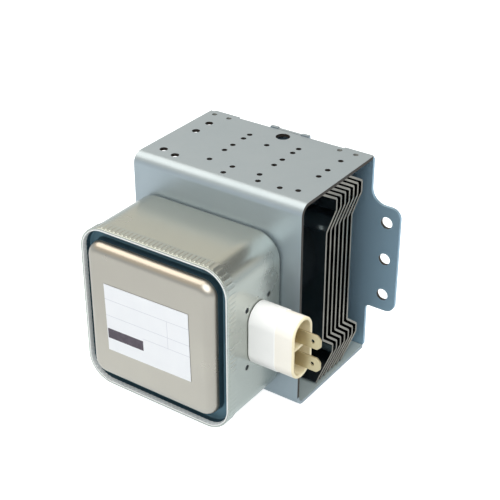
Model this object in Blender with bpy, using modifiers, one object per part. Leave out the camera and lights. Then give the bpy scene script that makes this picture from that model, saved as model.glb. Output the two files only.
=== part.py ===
"""Magnetron of a microwave oven: a vacuum tube in its steel yoke, with cooling fins and a filter box.

The tube's axis runs along Y through the middle of the anode. The filter box is in front, towards -Y,
and the antenna points back, towards +Y. The yoke stands on its lower panel at Z = 0.
"""

import math

import bmesh
import bpy
from mathutils import Matrix, Vector

MM = 0.001
SEAT = 0.25 * MM  # clearance between two pieces that touch
ARC_STEPS = 4  # straight steps in a quarter of a bend
ROUND_STEPS = 20  # straight steps in a full turn

# Tube: anode, vanes and cathode
ANODE_LENGTH = 27.0 * MM
ANODE_RADIUS = 20.0 * MM
ANODE_WALL = 2.5 * MM
ANODE_REBATE_DEPTH = 1.65 * MM
ANODE_REBATE_WALL = 1.2 * MM
VANE_COUNT = 10
VANE_TIP_RADIUS = 4.6 * MM
VANE_HEIGHT = 9.5 * MM
VANE_THICKNESS = 1.8 * MM
VANE_NOTCH_START = 5.6 * MM
STRAP_HEIGHT = 1.2 * MM
STRAP_THICKNESS = 0.8 * MM
STRAP_SPACING = 1.45 * MM
STRAP_MARGIN = 0.6 * MM  # from the outer strap to the end of the vane's notch
POLE_GAP = 12.6 * MM
POLE_BORE_RADIUS = 4.8 * MM
POLE_TIP_RADIUS = 7.0 * MM
POLE_CONE_RADIUS = 12.5 * MM
POLE_SHEET = 1.65 * MM
POLE_LEAN = 0.66 * MM  # how far the cone's outer face lies inside its inner face
FILAMENT_RADIUS = 1.9 * MM
FILAMENT_WIRE = 0.6 * MM
FILAMENT_TURNS = 5
HAT_RADIUS = 3.6 * MM
HAT_THICKNESS = 1.3 * MM
HAT_GAP = 10.9 * MM
LEAD_DIAMETER = 1.2 * MM
SIDE_LEAD_OFFSET = 2.4 * MM
LEAD_STRAIGHT = 4.6 * MM  # straight part of a lead before it enters the stem
LEAD_JOG_LENGTH = 9.4 * MM

# Both ends of the tube
SEAL_RADIUS = 10.0 * MM
SEAL_WALL = 0.5 * MM
STEM_REACH = 31.0 * MM
STEM_CERAMIC_LENGTH = 6.75 * MM
STEM_POST_DIAMETER = 2.0 * MM
STEM_POST_LENGTH = 4.75 * MM
STEM_POST_SPACING = 7.0 * MM
OUTPUT_REACH = 29.5 * MM
OUTPUT_CERAMIC_STEP = 0.4 * MM  # how much smaller the ceramic is than the cylinder it closes
OUTPUT_CERAMIC_WALL = 2.2 * MM
OUTPUT_CERAMIC_LENGTH = 7.75 * MM
EXHAUST_RADIUS = 2.6 * MM
EXHAUST_WALL = 0.8 * MM
EXHAUST_LENGTH = 5.5 * MM
ANTENNA_CAP_RADIUS = 8.2 * MM
ANTENNA_CAP_LENGTH = 8.25 * MM
ANTENNA_CAP_WALL = 0.5 * MM
ANTENNA_LEAD_DIAMETER = 1.8 * MM
ANTENNA_FOOT_RADIUS = 10.2 * MM
ANTENNA_PASS_RADIUS = 7.6 * MM
ANTENNA_PASS_CLEARANCE = 0.6 * MM

# Magnets and yoke
MAGNET_THICKNESS = 11.6 * MM
MAGNET_OVERHANG = 4.5 * MM  # how far a magnet stands out past the anode
MAGNET_BORE_CLEARANCE = 0.6 * MM
MAGNET_CHAMFER = 0.8 * MM
YOKE_WIDTH = 80.0 * MM
YOKE_HEIGHT = 92.0 * MM
YOKE_SHEET = 1.4 * MM
YOKE_BEND_RADIUS = 4.6 * MM
PLATE_SHEET = 1.4 * MM
EAR_HOLE_DIAMETER = 5.2 * MM
EAR_HOLE_SPACING = 17.1 * MM
EAR_HOLE_OFFSET = 7.7 * MM  # from the yoke's side out to the holes
EAR_ROW_RISE = 0.9 * MM  # from the tube's axis up to the middle hole
EAR_END_MARGIN = 6.0 * MM  # from the holes out to the end of the ear
EAR_TOP_MARGIN = 7.2 * MM
EAR_BOTTOM_MARGIN = 7.5 * MM
EAR_TOP_FILLET = 6.5 * MM
EAR_BOTTOM_FILLET = 2.2 * MM
EAR_CORNER_RADIUS = 4.4 * MM
PLATE_CORNER_RADIUS = 1.8 * MM
PLATE_TAB_HALF_WIDTH = 9.5 * MM
PLATE_TAB_RISE = 0.5 * MM
PLATE_TAB_DIP_HALF_WIDTH = 5.5 * MM
PLATE_SHOULDER_START = 26.0 * MM
PLATE_SHOULDER_DROP = 0.4 * MM
PLATE_RECESS_DROP = 1.0 * MM
PLATE_FLOOR_GAP = 0.3 * MM

# Holes that are punched through the yoke's upper and lower panels
SMALL_HOLE_DIAMETER = 2.3 * MM
MEDIUM_HOLE_DIAMETER = 3.4 * MM
LARGE_HOLE_DIAMETER = 6.0 * MM
HOLE_ROW_OFFSET = 12.0 * MM
HOLE_ROW = [14.1 * MM, 9.7 * MM, 2.2 * MM, -3.6 * MM, -13.7 * MM]  # along Y
MIDDLE_HOLES = [(-0.6 * MM, 9.8 * MM), (-0.6 * MM, -14.1 * MM), (-0.6 * MM, -20.2 * MM)]  # (X, Y)
RIGHT_HOLES = [  # (from the panel's right side, Y)
    (25.4 * MM, -18.6 * MM),
    (15.4 * MM, -18.6 * MM),
    (8.4 * MM, -16.6 * MM),
    (8.4 * MM, -2.1 * MM),
    (8.4 * MM, 4.5 * MM),
    (8.4 * MM, 14.3 * MM),
]
LEFT_HOLES = [  # (from the panel's left side, Y)
    (7.5 * MM, 13.8 * MM),
    (7.5 * MM, 4.6 * MM),
    (7.5 * MM, -16.9 * MM),
    (14.6 * MM, -18.7 * MM),
]
LARGE_HOLE_X = 0.3 * MM
LARGE_HOLE_SETBACK = 5.05 * MM  # from the panel's back edge
LEFT_STAKES = [3.9 * MM, 11.4 * MM]  # from the panel's left side
RIGHT_STAKES = [6.4 * MM, 13.9 * MM]  # from the panel's right side
STAKE_SETBACK = 2.75 * MM
STAKE_DIAMETER = 2.0 * MM
STAKE_DEPTH = 0.5 * MM

# Cooling fins, from the middle of the fin outwards to the yoke's panels
FIN_COUNT = 7
FIN_PITCH = 3.2 * MM
FIN_SHEET = 0.95 * MM
FIN_SIDE_GAP = 1.2 * MM  # from a fin's side in to the yoke's
FIN_END_MARGIN = 0.8 * MM  # from the last fin to the back end of the anode
FIN_MAGNET_GAP = 0.3 * MM
FIN_END_FORWARD = 4.2 * MM
# Extra flat height, step back, step height and upright height of a fin's two folded sides
FIN_UPPER_SIDE = (0.4 * MM, 6.9 * MM, 7.0 * MM, 5.1 * MM)
FIN_LOWER_SIDE = (0.0, 8.2 * MM, 6.7 * MM, 4.0 * MM)
FIN_BEND_RADIUS = 1.2 * MM
FIN_COLLAR_HEIGHT = 1.5 * MM

# Filter box, seen from the front
BOX_CENTRE_X = -3.0 * MM
BOX_DROP = 4.1 * MM  # from the tube's axis down to the box's middle
BOX_WIDTH = 69.5 * MM
BOX_HEIGHT = 71.1 * MM
BOX_DEPTH = 35.75 * MM
BOX_SHEET = 0.5 * MM
BOX_CORNER_RADIUS = 10.7 * MM
BOX_HEEL_RADIUS = 2.0 * MM
RIM_FLARE = 0.5 * MM
RIM_BAND = 5.2 * MM
RIM_SLOPE = 0.8 * MM
COVER_SHEET = 0.5 * MM
COVER_RISE = 4.0 * MM
COVER_GROOVE_SIDE_WIDTH = 2.9 * MM
COVER_GROOVE_END_WIDTH = 4.3 * MM
COVER_GROOVE_DEPTH = 3.8 * MM
COVER_GROOVE_RADIUS = 0.7 * MM
COVER_EDGE_RADIUS = 4.4 * MM
LABEL_WIDTH = 40.7 * MM
LABEL_HEIGHT = 30.2 * MM
LABEL_THICKNESS = 0.15 * MM
LABEL_OFFSET_X = -0.2 * MM  # from the box's middle
LABEL_OFFSET_Z = 0.15 * MM
LABEL_TILT = math.radians(1.3)
LABEL_GAP = 0.05 * MM

# Feed-through capacitor on the box's right wall, seen from its mouth
PLUG_RISE = 1.4 * MM  # from the box's middle up to the plug's
PLUG_WIDTH = 13.8 * MM
PLUG_HEIGHT = 26.6 * MM
PLUG_LENGTH = 20.0 * MM
PLUG_WALL = 1.6 * MM
RESIN_DEPTH = 9.0 * MM
RESIN_INNER_LENGTH = 9.0 * MM
PLUG_FLANGE_SIDE_MARGIN = 3.1 * MM  # from the shell's outline out to the flange's
PLUG_FLANGE_END_MARGIN = 2.7 * MM
PLUG_FLANGE_SHEET = 0.8 * MM
PLUG_FLANGE_CORNER = 4.0 * MM
RIVET_HOLE_DIAMETER = 2.0 * MM
RIVET_SIDE_MARGIN = 2.8 * MM  # from the flange's outline in to a rivet hole
RIVET_END_MARGIN = 3.1 * MM
TAB_WIDTH = 6.3 * MM
TAB_THICKNESS = 0.8 * MM
TAB_SPACING = 10.0 * MM
TAB_REACH = 8.0 * MM
TAB_TAIL = 2.0 * MM
TAB_TIP_CHAMFER = 1.6 * MM
TAB_HOLE_DIAMETER = 1.6 * MM
TAB_HOLE_SETBACK = 3.6 * MM

# Filter chokes inside the box
CHOKE_WIRE = 1.4 * MM
CHOKE_TURNS = 6
CHOKE_PITCH = 3.6 * MM
CHOKE_CORE_DIAMETER = 5.0 * MM
CHOKE_CORE_OVERHANG = 2.0 * MM
CHOKE_OFFSET_X = -2.0 * MM  # from the box's middle
CHOKE_OFFSET_Y = -1.7 * MM  # from the plug's middle
CHOKE_SPREAD = 17.5 * MM  # from the tube's axis up or down to a choke's axis

# Gasket that seals the antenna against the oven's waveguide
GASKET_THICKNESS = 4.6 * MM
GASKET_INNER_GAP = 0.8 * MM
GASKET_OUTER_GAP = 1.8 * MM
RETAINER_SHEET = 0.6 * MM
RETAINER_LIP = 3.2 * MM
RETAINER_OUTER_LIP = 1.5 * MM

# Places that follow from the sizes above
AXIS_HEIGHT = YOKE_HEIGHT / 2
ANODE_END = ANODE_LENGTH / 2
MAGNET_RADIUS = ANODE_RADIUS + MAGNET_OVERHANG
PANEL_INNER_Y = -(ANODE_END + SEAT + MAGNET_THICKNESS + SEAT)
YOKE_FRONT_Y = PANEL_INNER_Y - YOKE_SHEET
PLATE_FRONT_Y = -PANEL_INNER_Y
PLATE_BACK_Y = PLATE_FRONT_Y + PLATE_SHEET
PANEL_BACK_Y = PLATE_FRONT_Y - SEAT
EAR_HOLE_REACH = YOKE_WIDTH / 2 + EAR_HOLE_OFFSET
EAR_HOLE_HEIGHT = AXIS_HEIGHT + EAR_ROW_RISE
EAR_REACH = EAR_HOLE_REACH + EAR_END_MARGIN
EAR_TOP = EAR_HOLE_HEIGHT + EAR_HOLE_SPACING + EAR_TOP_MARGIN
EAR_BOTTOM = EAR_HOLE_HEIGHT - EAR_HOLE_SPACING - EAR_BOTTOM_MARGIN
BOX_BACK_Y = YOKE_FRONT_Y - SEAT
BOX_RIM_Y = BOX_BACK_Y - BOX_DEPTH
BOX_RIGHT_X = BOX_CENTRE_X + BOX_WIDTH / 2
BOX_CENTRE_Z = AXIS_HEIGHT - BOX_DROP
COVER_FACE_Y = BOX_RIM_Y - COVER_RISE
COVER_FLOOR_Y = BOX_RIM_Y + COVER_GROOVE_DEPTH
MAGNET_BORE_RADIUS = SEAL_RADIUS + MAGNET_BORE_CLEARANCE
OUTPUT_CERAMIC_RADIUS = SEAL_RADIUS - OUTPUT_CERAMIC_STEP
GASKET_RADIUS = MAGNET_BORE_RADIUS + RETAINER_SHEET + GASKET_INNER_GAP + GASKET_THICKNESS / 2
RETAINER_RADIUS = GASKET_RADIUS + GASKET_THICKNESS / 2 + GASKET_OUTER_GAP + RETAINER_SHEET
PLUG_CENTRE_Y = (BOX_BACK_Y + COVER_FLOOR_Y) / 2
PLUG_CENTRE_Z = BOX_CENTRE_Z + PLUG_RISE
PLUG_ROOT_X = BOX_RIGHT_X + SEAT
PLUG_MOUTH_X = PLUG_ROOT_X + PLUG_LENGTH
RESIN_TAIL_X = BOX_RIGHT_X - BOX_SHEET - SEAT - PLUG_FLANGE_SHEET - RESIN_INNER_LENGTH
TAB_TAIL_X = RESIN_TAIL_X - TAB_TAIL
TAB_TIP_X = PLUG_MOUTH_X + TAB_REACH
FLANGE_HALF_WIDTH = PLUG_WIDTH / 2 + PLUG_FLANGE_SIDE_MARGIN
FLANGE_HALF_HEIGHT = PLUG_HEIGHT / 2 + PLUG_FLANGE_END_MARGIN
RIVETS = [
    (side_y * (FLANGE_HALF_WIDTH - RIVET_SIDE_MARGIN), side_z * (FLANGE_HALF_HEIGHT - RIVET_END_MARGIN))
    for side_y in (-1, 1)
    for side_z in (-1, 1)
]
CHOKE_CENTRE_X = BOX_CENTRE_X + CHOKE_OFFSET_X
CHOKE_CENTRE_Y = PLUG_CENTRE_Y + CHOKE_OFFSET_Y
STEM_FACE_Y = -(STEM_REACH + SEAT + STEM_CERAMIC_LENGTH)

ALONG_TUBE = Matrix.Rotation(math.radians(-90), 4, "X")
FACING_FRONT = Matrix.Rotation(math.radians(90), 4, "X")
FACING_RIGHT = Matrix.Rotation(math.radians(-90), 4, "Z")


def clear_scene():
    for item in list(bpy.data.objects):
        bpy.data.objects.remove(item)


def new_collection(name):
    collection = bpy.data.collections.new(name)
    bpy.context.scene.collection.children.link(collection)
    return collection


def surface(name, colour, roughness, metallic):
    """A plain material of one colour, roughness and metallic value."""
    material = bpy.data.materials.new(name)
    material.use_nodes = True
    shader = material.node_tree.nodes["Principled BSDF"]
    shader.inputs["Base Color"].default_value = (*colour, 1.0)
    shader.inputs["Roughness"].default_value = roughness
    shader.inputs["Metallic"].default_value = metallic
    return material


clear_scene()
PARTS = new_collection("magnetron")
CUTTERS = new_collection("magnetron_cutters")

ZINC = surface("zinc_plated_steel", (0.36, 0.42, 0.44), 0.38, 1.0)
PLATE_STEEL = surface("plate_steel", (0.26, 0.34, 0.38), 0.35, 1.0)
BOX_STEEL = surface("box_steel", (0.42, 0.45, 0.40), 0.35, 1.0)
COVER_STEEL = surface("cover_steel", (0.55, 0.53, 0.47), 0.28, 1.0)
PAPER = surface("label_paper", (0.85, 0.85, 0.86), 0.6, 0.0)
PLASTIC = surface("white_plastic", (0.90, 0.88, 0.80), 0.4, 0.0)
RESIN = surface("cast_resin", (0.70, 0.58, 0.30), 0.45, 0.0)
TINNED = surface("tinned_brass", (0.62, 0.56, 0.42), 0.3, 1.0)
ALUMINIUM = surface("fin_aluminium", (0.60, 0.58, 0.54), 0.3, 1.0)
COPPER = surface("copper", (0.72, 0.38, 0.26), 0.3, 1.0)
FERRITE = surface("ferrite", (0.06, 0.06, 0.065), 0.6, 0.0)
ALUMINA = surface("alumina", (0.85, 0.84, 0.80), 0.5, 0.0)
STAINLESS = surface("stainless", (0.55, 0.55, 0.55), 0.25, 1.0)
REFRACTORY = surface("refractory_metal", (0.30, 0.30, 0.32), 0.4, 1.0)
MESH_WIRE = surface("gasket_mesh", (0.50, 0.48, 0.42), 0.5, 1.0)


def add_part(name, data, material, matrix=None):
    """Put mesh or curve data in the scene as one named part."""
    part = bpy.data.objects.new(name, data)
    part.matrix_world = matrix if matrix else Matrix.Identity(4)
    data.materials.append(material)
    PARTS.objects.link(part)
    return part


def mesh_from(bm, name):
    mesh = bpy.data.meshes.new(name)
    bm.to_mesh(mesh)
    bm.free()
    return mesh


def rounded(corners, closed=True, arc_steps=ARC_STEPS):
    """The points of an outline whose corners, each (x, y, radius), are replaced by arcs."""
    points = []
    for index, (x, y, radius) in enumerate(corners):
        corner = Vector((x, y))
        at_end = not closed and index in (0, len(corners) - 1)
        if radius == 0 or at_end:
            points.append(corner)
            continue
        before = Vector(corners[index - 1][:2]) - corner
        after = Vector(corners[(index + 1) % len(corners)][:2]) - corner
        half = before.angle(after) / 2
        middle = corner + (before.normalized() + after.normalized()).normalized() * radius / math.sin(half)
        start = corner + before.normalized() * radius / math.tan(half) - middle
        end = corner + after.normalized() * radius / math.tan(half) - middle
        turn = start.angle_signed(end)
        steps = max(1, round(arc_steps * abs(turn) / (math.pi / 2)))
        for step in range(steps + 1):
            points.append(middle + Matrix.Rotation(-turn * step / steps, 2) @ start)
    return without_repeats(points) if closed else points


def without_repeats(points):
    """The same outline without a point that lies on the one before it, as where two arcs meet."""
    pairs = zip(points[-1:] + points, points)
    return [place for before, place in pairs if (place - before).length > 0.001 * MM]


def circle(radius, steps, x=0.0, y=0.0):
    """The points of a circle, turned half a step so that a flat side faces each axis."""
    angles = [math.tau * (step + 0.5) / steps for step in range(steps)]
    return [Vector((x + radius * math.cos(angle), y + radius * math.sin(angle))) for angle in angles]


def flat_piece(name, outlines, thickness, material, matrix):
    """A flat piece cut to an outline. Outlines inside the first one are its holes."""
    curve = bpy.data.curves.new(name, "CURVE")
    curve.dimensions = "2D"
    curve.fill_mode = "BOTH"
    curve.extrude = thickness / 2
    for outline in outlines:
        spline = curve.splines.new("POLY")
        spline.points.add(len(outline) - 1)
        spline.use_cyclic_u = True
        for point, place in zip(spline.points, outline):
            point.co = (place.x, place.y, 0.0, 1.0)
    return add_part(name, curve, material, matrix)


def turned(name, profile, material, steps=ROUND_STEPS):
    """A piece turned about the tube's axis from (radius, place along Y) points.

    The profile runs from the back down its outer side to the front. It is closed unless it ends on the axis.
    """
    bm = bmesh.new()
    points = [bm.verts.new((radius, 0.0, along)) for radius, along in profile]
    for first, second in zip(points, points[1:]):
        bm.edges.new((first, second))
    if profile[0][0] > 0:
        bm.edges.new((points[-1], points[0]))
    matrix = Matrix.Translation((0.0, 0.0, AXIS_HEIGHT)) @ ALONG_TUBE
    part = add_part(name, mesh_from(bm, name), material, matrix)
    screw = part.modifiers.new("Turn", "SCREW")
    screw.steps = steps
    screw.render_steps = steps
    screw.use_merge_vertices = True
    screw.merge_threshold = 0.00001
    screw.use_smooth_shade = False
    return part


def tube_profile(outer, wall, back, front):
    """The section of a plain tube."""
    return [(outer - wall, back), (outer, back), (outer, front), (outer - wall, front)]


def wire(name, points, diameter, material, sides_level=1):
    """A round wire along a list of points."""
    curve = bpy.data.curves.new(name, "CURVE")
    curve.dimensions = "3D"
    curve.bevel_depth = diameter / 2
    curve.bevel_resolution = sides_level
    curve.use_fill_caps = True
    spline = curve.splines.new("POLY")
    spline.points.add(len(points) - 1)
    for point, place in zip(spline.points, points):
        point.co = (*place, 1.0)
    return add_part(name, curve, material)


def smooth_route(points, steps=4):
    """A smooth curve through the given points."""
    ends = [points[0] * 2 - points[1], *points, points[-1] * 2 - points[-2]]
    route = []
    for before, start, end, after in zip(ends, ends[1:], ends[2:], ends[3:]):
        for step in range(steps):
            t = step / steps
            route.append(
                start
                + (end - before) * (t / 2)
                + (before * 2 - start * 5 + end * 4 - after) * (t * t / 2)
                + (start * 3 - before - end * 3 + after) * (t * t * t / 2)
            )
    route.append(points[-1])
    return route


def ring_loops(bm, rings):
    """Rounded rectangles in planes across local Y, each extruded to the next.

    Each is (half width, half height, radius, y).
    """
    loops = []
    points = []
    for half_width, half_height, radius, y in rings:
        corners = [
            (half_width, -half_height, radius),
            (half_width, half_height, radius),
            (-half_width, half_height, radius),
            (-half_width, -half_height, radius),
        ]
        places = [Vector((place.x, y, place.y)) for place in rounded(corners)]
        if loops:
            grown = bmesh.ops.extrude_edge_only(bm, edges=loops[-1])["geom"]
            fresh = {item for item in grown if isinstance(item, bmesh.types.BMVert)}
            points = [copy_of(point, fresh) for point in points]
            for point, place in zip(points, places):
                point.co = place
            loops.append([bm.edges.get(pair) for pair in zip(points, points[1:] + points[:1])])
        else:
            points = [bm.verts.new(place) for place in places]
            loops.append([bm.edges.new(pair) for pair in zip(points, points[1:] + points[:1])])
    return loops


def copy_of(point, fresh):
    """The one of the fresh points that was extruded from this point."""
    ends = [edge.other_vert(point) for edge in point.link_edges]
    return next(end for end in ends if end in fresh)


def drawn_shell(name, rings, thickness, material, matrix, cap_last):
    """A pan or tube drawn from sheet: the rings give its outer surface, and the wall grows inwards."""
    bm = bmesh.new()
    loops = ring_loops(bm, rings)
    if cap_last:
        bmesh.ops.contextual_create(bm, geom=loops[-1])
    bmesh.ops.recalc_face_normals(bm, faces=bm.faces)
    part = add_part(name, mesh_from(bm, name), material, matrix)
    wall = part.modifiers.new("Sheet", "SOLIDIFY")
    wall.thickness = thickness
    wall.offset = -1.0
    wall.use_even_offset = True
    return part


def folded_sheet(name, path, width, thickness, offset, material):
    """Sheet bent along a path of (Y, Z) points and as wide along X as given."""
    bm = bmesh.new()
    points = [bm.verts.new((width / 2, place.x, place.y)) for place in path]
    edges = [bm.edges.new(pair) for pair in zip(points, points[1:])]
    grown = bmesh.ops.extrude_edge_only(bm, edges=edges)["geom"]
    moved = [item for item in grown if isinstance(item, bmesh.types.BMVert)]
    bmesh.ops.translate(bm, verts=moved, vec=(-width, 0.0, 0.0))
    part = add_part(name, mesh_from(bm, name), material)
    wall = part.modifiers.new("Sheet", "SOLIDIFY")
    wall.thickness = thickness
    wall.offset = offset
    wall.use_even_offset = True
    return part


def cutter_from(bm, name):
    bmesh.ops.recalc_face_normals(bm, faces=bm.faces)
    cutter = bpy.data.objects.new(name, mesh_from(bm, name))
    cutter.hide_render = True
    cutter.display_type = "WIRE"
    CUTTERS.objects.link(cutter)
    return cutter


def add_drill(bm, centre, direction, diameter, depth, steps):
    """A cylinder through the given centre, along the given direction."""
    turn = Vector((0.0, 0.0, 1.0)).rotation_difference(Vector(direction)).to_matrix().to_4x4()
    flat_first = Matrix.Rotation(math.pi / steps, 4, "Z")
    bmesh.ops.create_cone(
        bm,
        cap_ends=True,
        segments=steps,
        radius1=diameter / 2,
        radius2=diameter / 2,
        depth=depth,
        matrix=Matrix.Translation(centre) @ turn @ flat_first,
    )


def add_block(bm, centre, size):
    matrix = Matrix.Translation(centre) @ Matrix.Diagonal((*size, 1.0))
    bmesh.ops.create_cube(bm, size=1.0, matrix=matrix)


def cut(part, cutter):
    boolean = part.modifiers.new("Cut", "BOOLEAN")
    boolean.operation = "DIFFERENCE"
    boolean.object = cutter


# Yoke


def make_yoke_frame():
    """The U-shaped yoke: upper panel, front panel and lower panel, folded from one sheet."""
    path = rounded(
        [
            (PANEL_BACK_Y, YOKE_HEIGHT, 0),
            (YOKE_FRONT_Y, YOKE_HEIGHT, YOKE_BEND_RADIUS),
            (YOKE_FRONT_Y, 0.0, YOKE_BEND_RADIUS),
            (PANEL_BACK_Y, 0.0, 0),
        ],
        closed=False,
    )
    yoke = folded_sheet("yoke_frame", path, YOKE_WIDTH, YOKE_SHEET, -1.0, ZINC)
    cut(yoke, yoke_cutter())


def yoke_cutter():
    """The punched holes and the staking marks of both panels, and the bore for the cathode stem."""
    side_x = YOKE_WIDTH / 2
    rows = [(side * HOLE_ROW_OFFSET, y) for side in (-1, 1) for y in HOLE_ROW]
    small = MIDDLE_HOLES + rows + [(side_x - margin, y) for margin, y in RIGHT_HOLES]
    medium = [(margin - side_x, y) for margin, y in LEFT_HOLES]
    large = [(LARGE_HOLE_X, PANEL_BACK_Y - LARGE_HOLE_SETBACK)]
    stakes = [margin - side_x for margin in LEFT_STAKES] + [side_x - margin for margin in RIGHT_STAKES]
    kinds = [
        (small, SMALL_HOLE_DIAMETER, 8),
        (medium, MEDIUM_HOLE_DIAMETER, 10),
        (large, LARGE_HOLE_DIAMETER, 16),
    ]
    bm = bmesh.new()
    for panel_z, outward in ((YOKE_HEIGHT - YOKE_SHEET / 2, 1), (YOKE_SHEET / 2, -1)):
        for places, diameter, steps in kinds:
            for x, y in places:
                add_drill(bm, (x, y, panel_z), (0, 0, 1), diameter, 2 * YOKE_SHEET, steps)
        for x in stakes:
            centre = (x, PANEL_BACK_Y - STAKE_SETBACK, panel_z + outward * YOKE_SHEET / 2)
            add_drill(bm, centre, (0, 0, 1), STAKE_DIAMETER, 2 * STAKE_DEPTH, 8)
    stem_centre = (0.0, YOKE_FRONT_Y + YOKE_SHEET / 2, AXIS_HEIGHT)
    add_drill(bm, stem_centre, (0, 1, 0), 2 * MAGNET_BORE_RADIUS, 2 * YOKE_SHEET, ROUND_STEPS)
    return cutter_from(bm, "yoke_holes")


def make_mounting_plate():
    """The plate that closes the yoke, with an ear of three holes on each side."""
    half_width = YOKE_WIDTH / 2
    top = YOKE_HEIGHT
    shoulder = top - PLATE_SHOULDER_DROP
    recess = top - PLATE_RECESS_DROP
    right = [
        (PLATE_TAB_DIP_HALF_WIDTH, top, 0),
        (PLATE_TAB_DIP_HALF_WIDTH + PLATE_TAB_RISE, top + PLATE_TAB_RISE, 0),
        (PLATE_TAB_HALF_WIDTH, top + PLATE_TAB_RISE, 0),
        (PLATE_TAB_HALF_WIDTH, recess, 0),
        (PLATE_SHOULDER_START, recess, 0),
        (PLATE_SHOULDER_START, shoulder, 0),
        (half_width, shoulder, PLATE_CORNER_RADIUS),
        (half_width, EAR_TOP, EAR_TOP_FILLET),
        (EAR_REACH, EAR_TOP, EAR_CORNER_RADIUS),
        (EAR_REACH, EAR_BOTTOM, EAR_CORNER_RADIUS),
        (half_width, EAR_BOTTOM, EAR_BOTTOM_FILLET),
        (half_width, PLATE_FLOOR_GAP, PLATE_CORNER_RADIUS),
    ]
    left = [(-x, z, radius) for x, z, radius in reversed(right)]
    outlines = [rounded(right + left)]
    outlines.append(circle(MAGNET_BORE_RADIUS, ROUND_STEPS, 0.0, AXIS_HEIGHT))
    for side in (-1, 1):
        for step in (-1, 0, 1):
            height = EAR_HOLE_HEIGHT + step * EAR_HOLE_SPACING
            outlines.append(circle(EAR_HOLE_DIAMETER / 2, 12, side * EAR_HOLE_REACH, height))
    matrix = Matrix.Translation((0.0, PLATE_FRONT_Y + PLATE_SHEET / 2, 0.0)) @ FACING_FRONT
    flat_piece("mounting_plate", outlines, PLATE_SHEET, PLATE_STEEL, matrix)


def make_magnets():
    """Two ring magnets, one at each end of the anode."""
    for name, start in (("magnet_input", PANEL_INNER_Y + SEAT), ("magnet_output", ANODE_END + SEAT)):
        end = start + MAGNET_THICKNESS
        profile = [
            (MAGNET_BORE_RADIUS, end),
            (MAGNET_RADIUS - MAGNET_CHAMFER, end),
            (MAGNET_RADIUS, end - MAGNET_CHAMFER),
            (MAGNET_RADIUS, start + MAGNET_CHAMFER),
            (MAGNET_RADIUS - MAGNET_CHAMFER, start),
            (MAGNET_BORE_RADIUS, start),
        ]
        turned(name, profile, FERRITE)


# Cooling fins


def fin_side(y, extra_flat, step_back, step_height, upright_height):
    """Half a fin's bent section, from its flat middle outwards, as (y, height above the axis)."""
    flat = MAGNET_RADIUS + FIN_MAGNET_GAP + extra_flat
    step_end = flat + step_height
    edge = AXIS_HEIGHT - YOKE_SHEET - SEAT - FIN_SHEET / 2
    return [
        (y, flat),
        (y + step_back, step_end),
        (y + step_back, step_end + upright_height),
        (y - FIN_END_FORWARD, edge),
    ]


def fin_path(y):
    """A fin's bent section: flat in the middle, stepped back, then slanting forward to each panel."""
    upper = fin_side(y, *FIN_UPPER_SIDE)
    lower = [(place_y, -height) for place_y, height in reversed(fin_side(y, *FIN_LOWER_SIDE))]
    corners = [(place_y, AXIS_HEIGHT + height, FIN_BEND_RADIUS) for place_y, height in lower + upper]
    return rounded(corners, closed=False, arc_steps=2)


def make_fins():
    """Fins pressed onto the anode by a collar, with their ends against the yoke's two panels."""
    last = ANODE_END - FIN_END_MARGIN
    hole_radius = ANODE_RADIUS + SEAT
    for number in range(FIN_COUNT):
        y = last - FIN_PITCH * (FIN_COUNT - 1 - number)
        name = f"fin_{number + 1}"
        fin = folded_sheet(name, fin_path(y), YOKE_WIDTH - 2 * FIN_SIDE_GAP, FIN_SHEET, 0.0, ALUMINIUM)
        collar = bmesh.new()
        collar_centre = (0.0, y - FIN_COLLAR_HEIGHT / 2, AXIS_HEIGHT)
        collar_diameter = 2 * (hole_radius + FIN_SHEET)
        add_drill(collar, collar_centre, (0, 1, 0), collar_diameter, FIN_COLLAR_HEIGHT, ROUND_STEPS)
        join = fin.modifiers.new("Collar", "BOOLEAN")
        join.operation = "UNION"
        join.object = cutter_from(collar, name + "_collar")
        bore = bmesh.new()
        add_drill(bore, (0.0, y, AXIS_HEIGHT), (0, 1, 0), 2 * hole_radius, 4 * FIN_COLLAR_HEIGHT, ROUND_STEPS)
        cut(fin, cutter_from(bore, name + "_bore"))


# Vacuum tube


def make_anode():
    """The copper anode: a cylinder with rebated ends, ten vanes and four strap rings."""
    inner = ANODE_RADIUS - ANODE_WALL
    rebate = ANODE_RADIUS - ANODE_REBATE_WALL
    shelf = ANODE_END - ANODE_REBATE_DEPTH
    profile = [
        (rebate, ANODE_END),
        (ANODE_RADIUS, ANODE_END),
        (ANODE_RADIUS, -ANODE_END),
        (rebate, -ANODE_END),
        (rebate, -shelf),
        (inner, -shelf),
        (inner, shelf),
        (rebate, shelf),
    ]
    turned("anode_cylinder", profile, COPPER)
    half = VANE_HEIGHT / 2
    notch = half - SEAT - STRAP_HEIGHT
    root = inner - SEAT
    notch_end = VANE_NOTCH_START + SEAT + STRAP_THICKNESS + STRAP_SPACING + STRAP_MARGIN
    upper = [
        (VANE_TIP_RADIUS, half),
        (VANE_NOTCH_START, half),
        (VANE_NOTCH_START, notch),
        (notch_end, notch),
        (notch_end, half),
        (root, half),
    ]
    lower = [(radius, -along) for radius, along in reversed(upper)]
    outline = [Vector(place) for place in upper + lower]
    for number in range(VANE_COUNT):
        around = Matrix.Rotation(math.tau * (number + 0.5) / VANE_COUNT, 4, "Y")
        matrix = Matrix.Translation((0.0, 0.0, AXIS_HEIGHT)) @ around
        flat_piece(f"vane_{number + 1:02d}", [outline], VANE_THICKNESS, COPPER, matrix)
    for end, side in (("input", -1), ("output", 1)):
        for place, order in (("inner", 0), ("outer", 1)):
            outer = VANE_NOTCH_START + SEAT + STRAP_THICKNESS + order * STRAP_SPACING
            faces = sorted((side * (notch + SEAT), side * (notch + SEAT + STRAP_HEIGHT)))
            profile = tube_profile(outer, STRAP_THICKNESS, faces[1], faces[0])
            turned(f"strap_{place}_{end}", profile, COPPER, 20)


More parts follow.
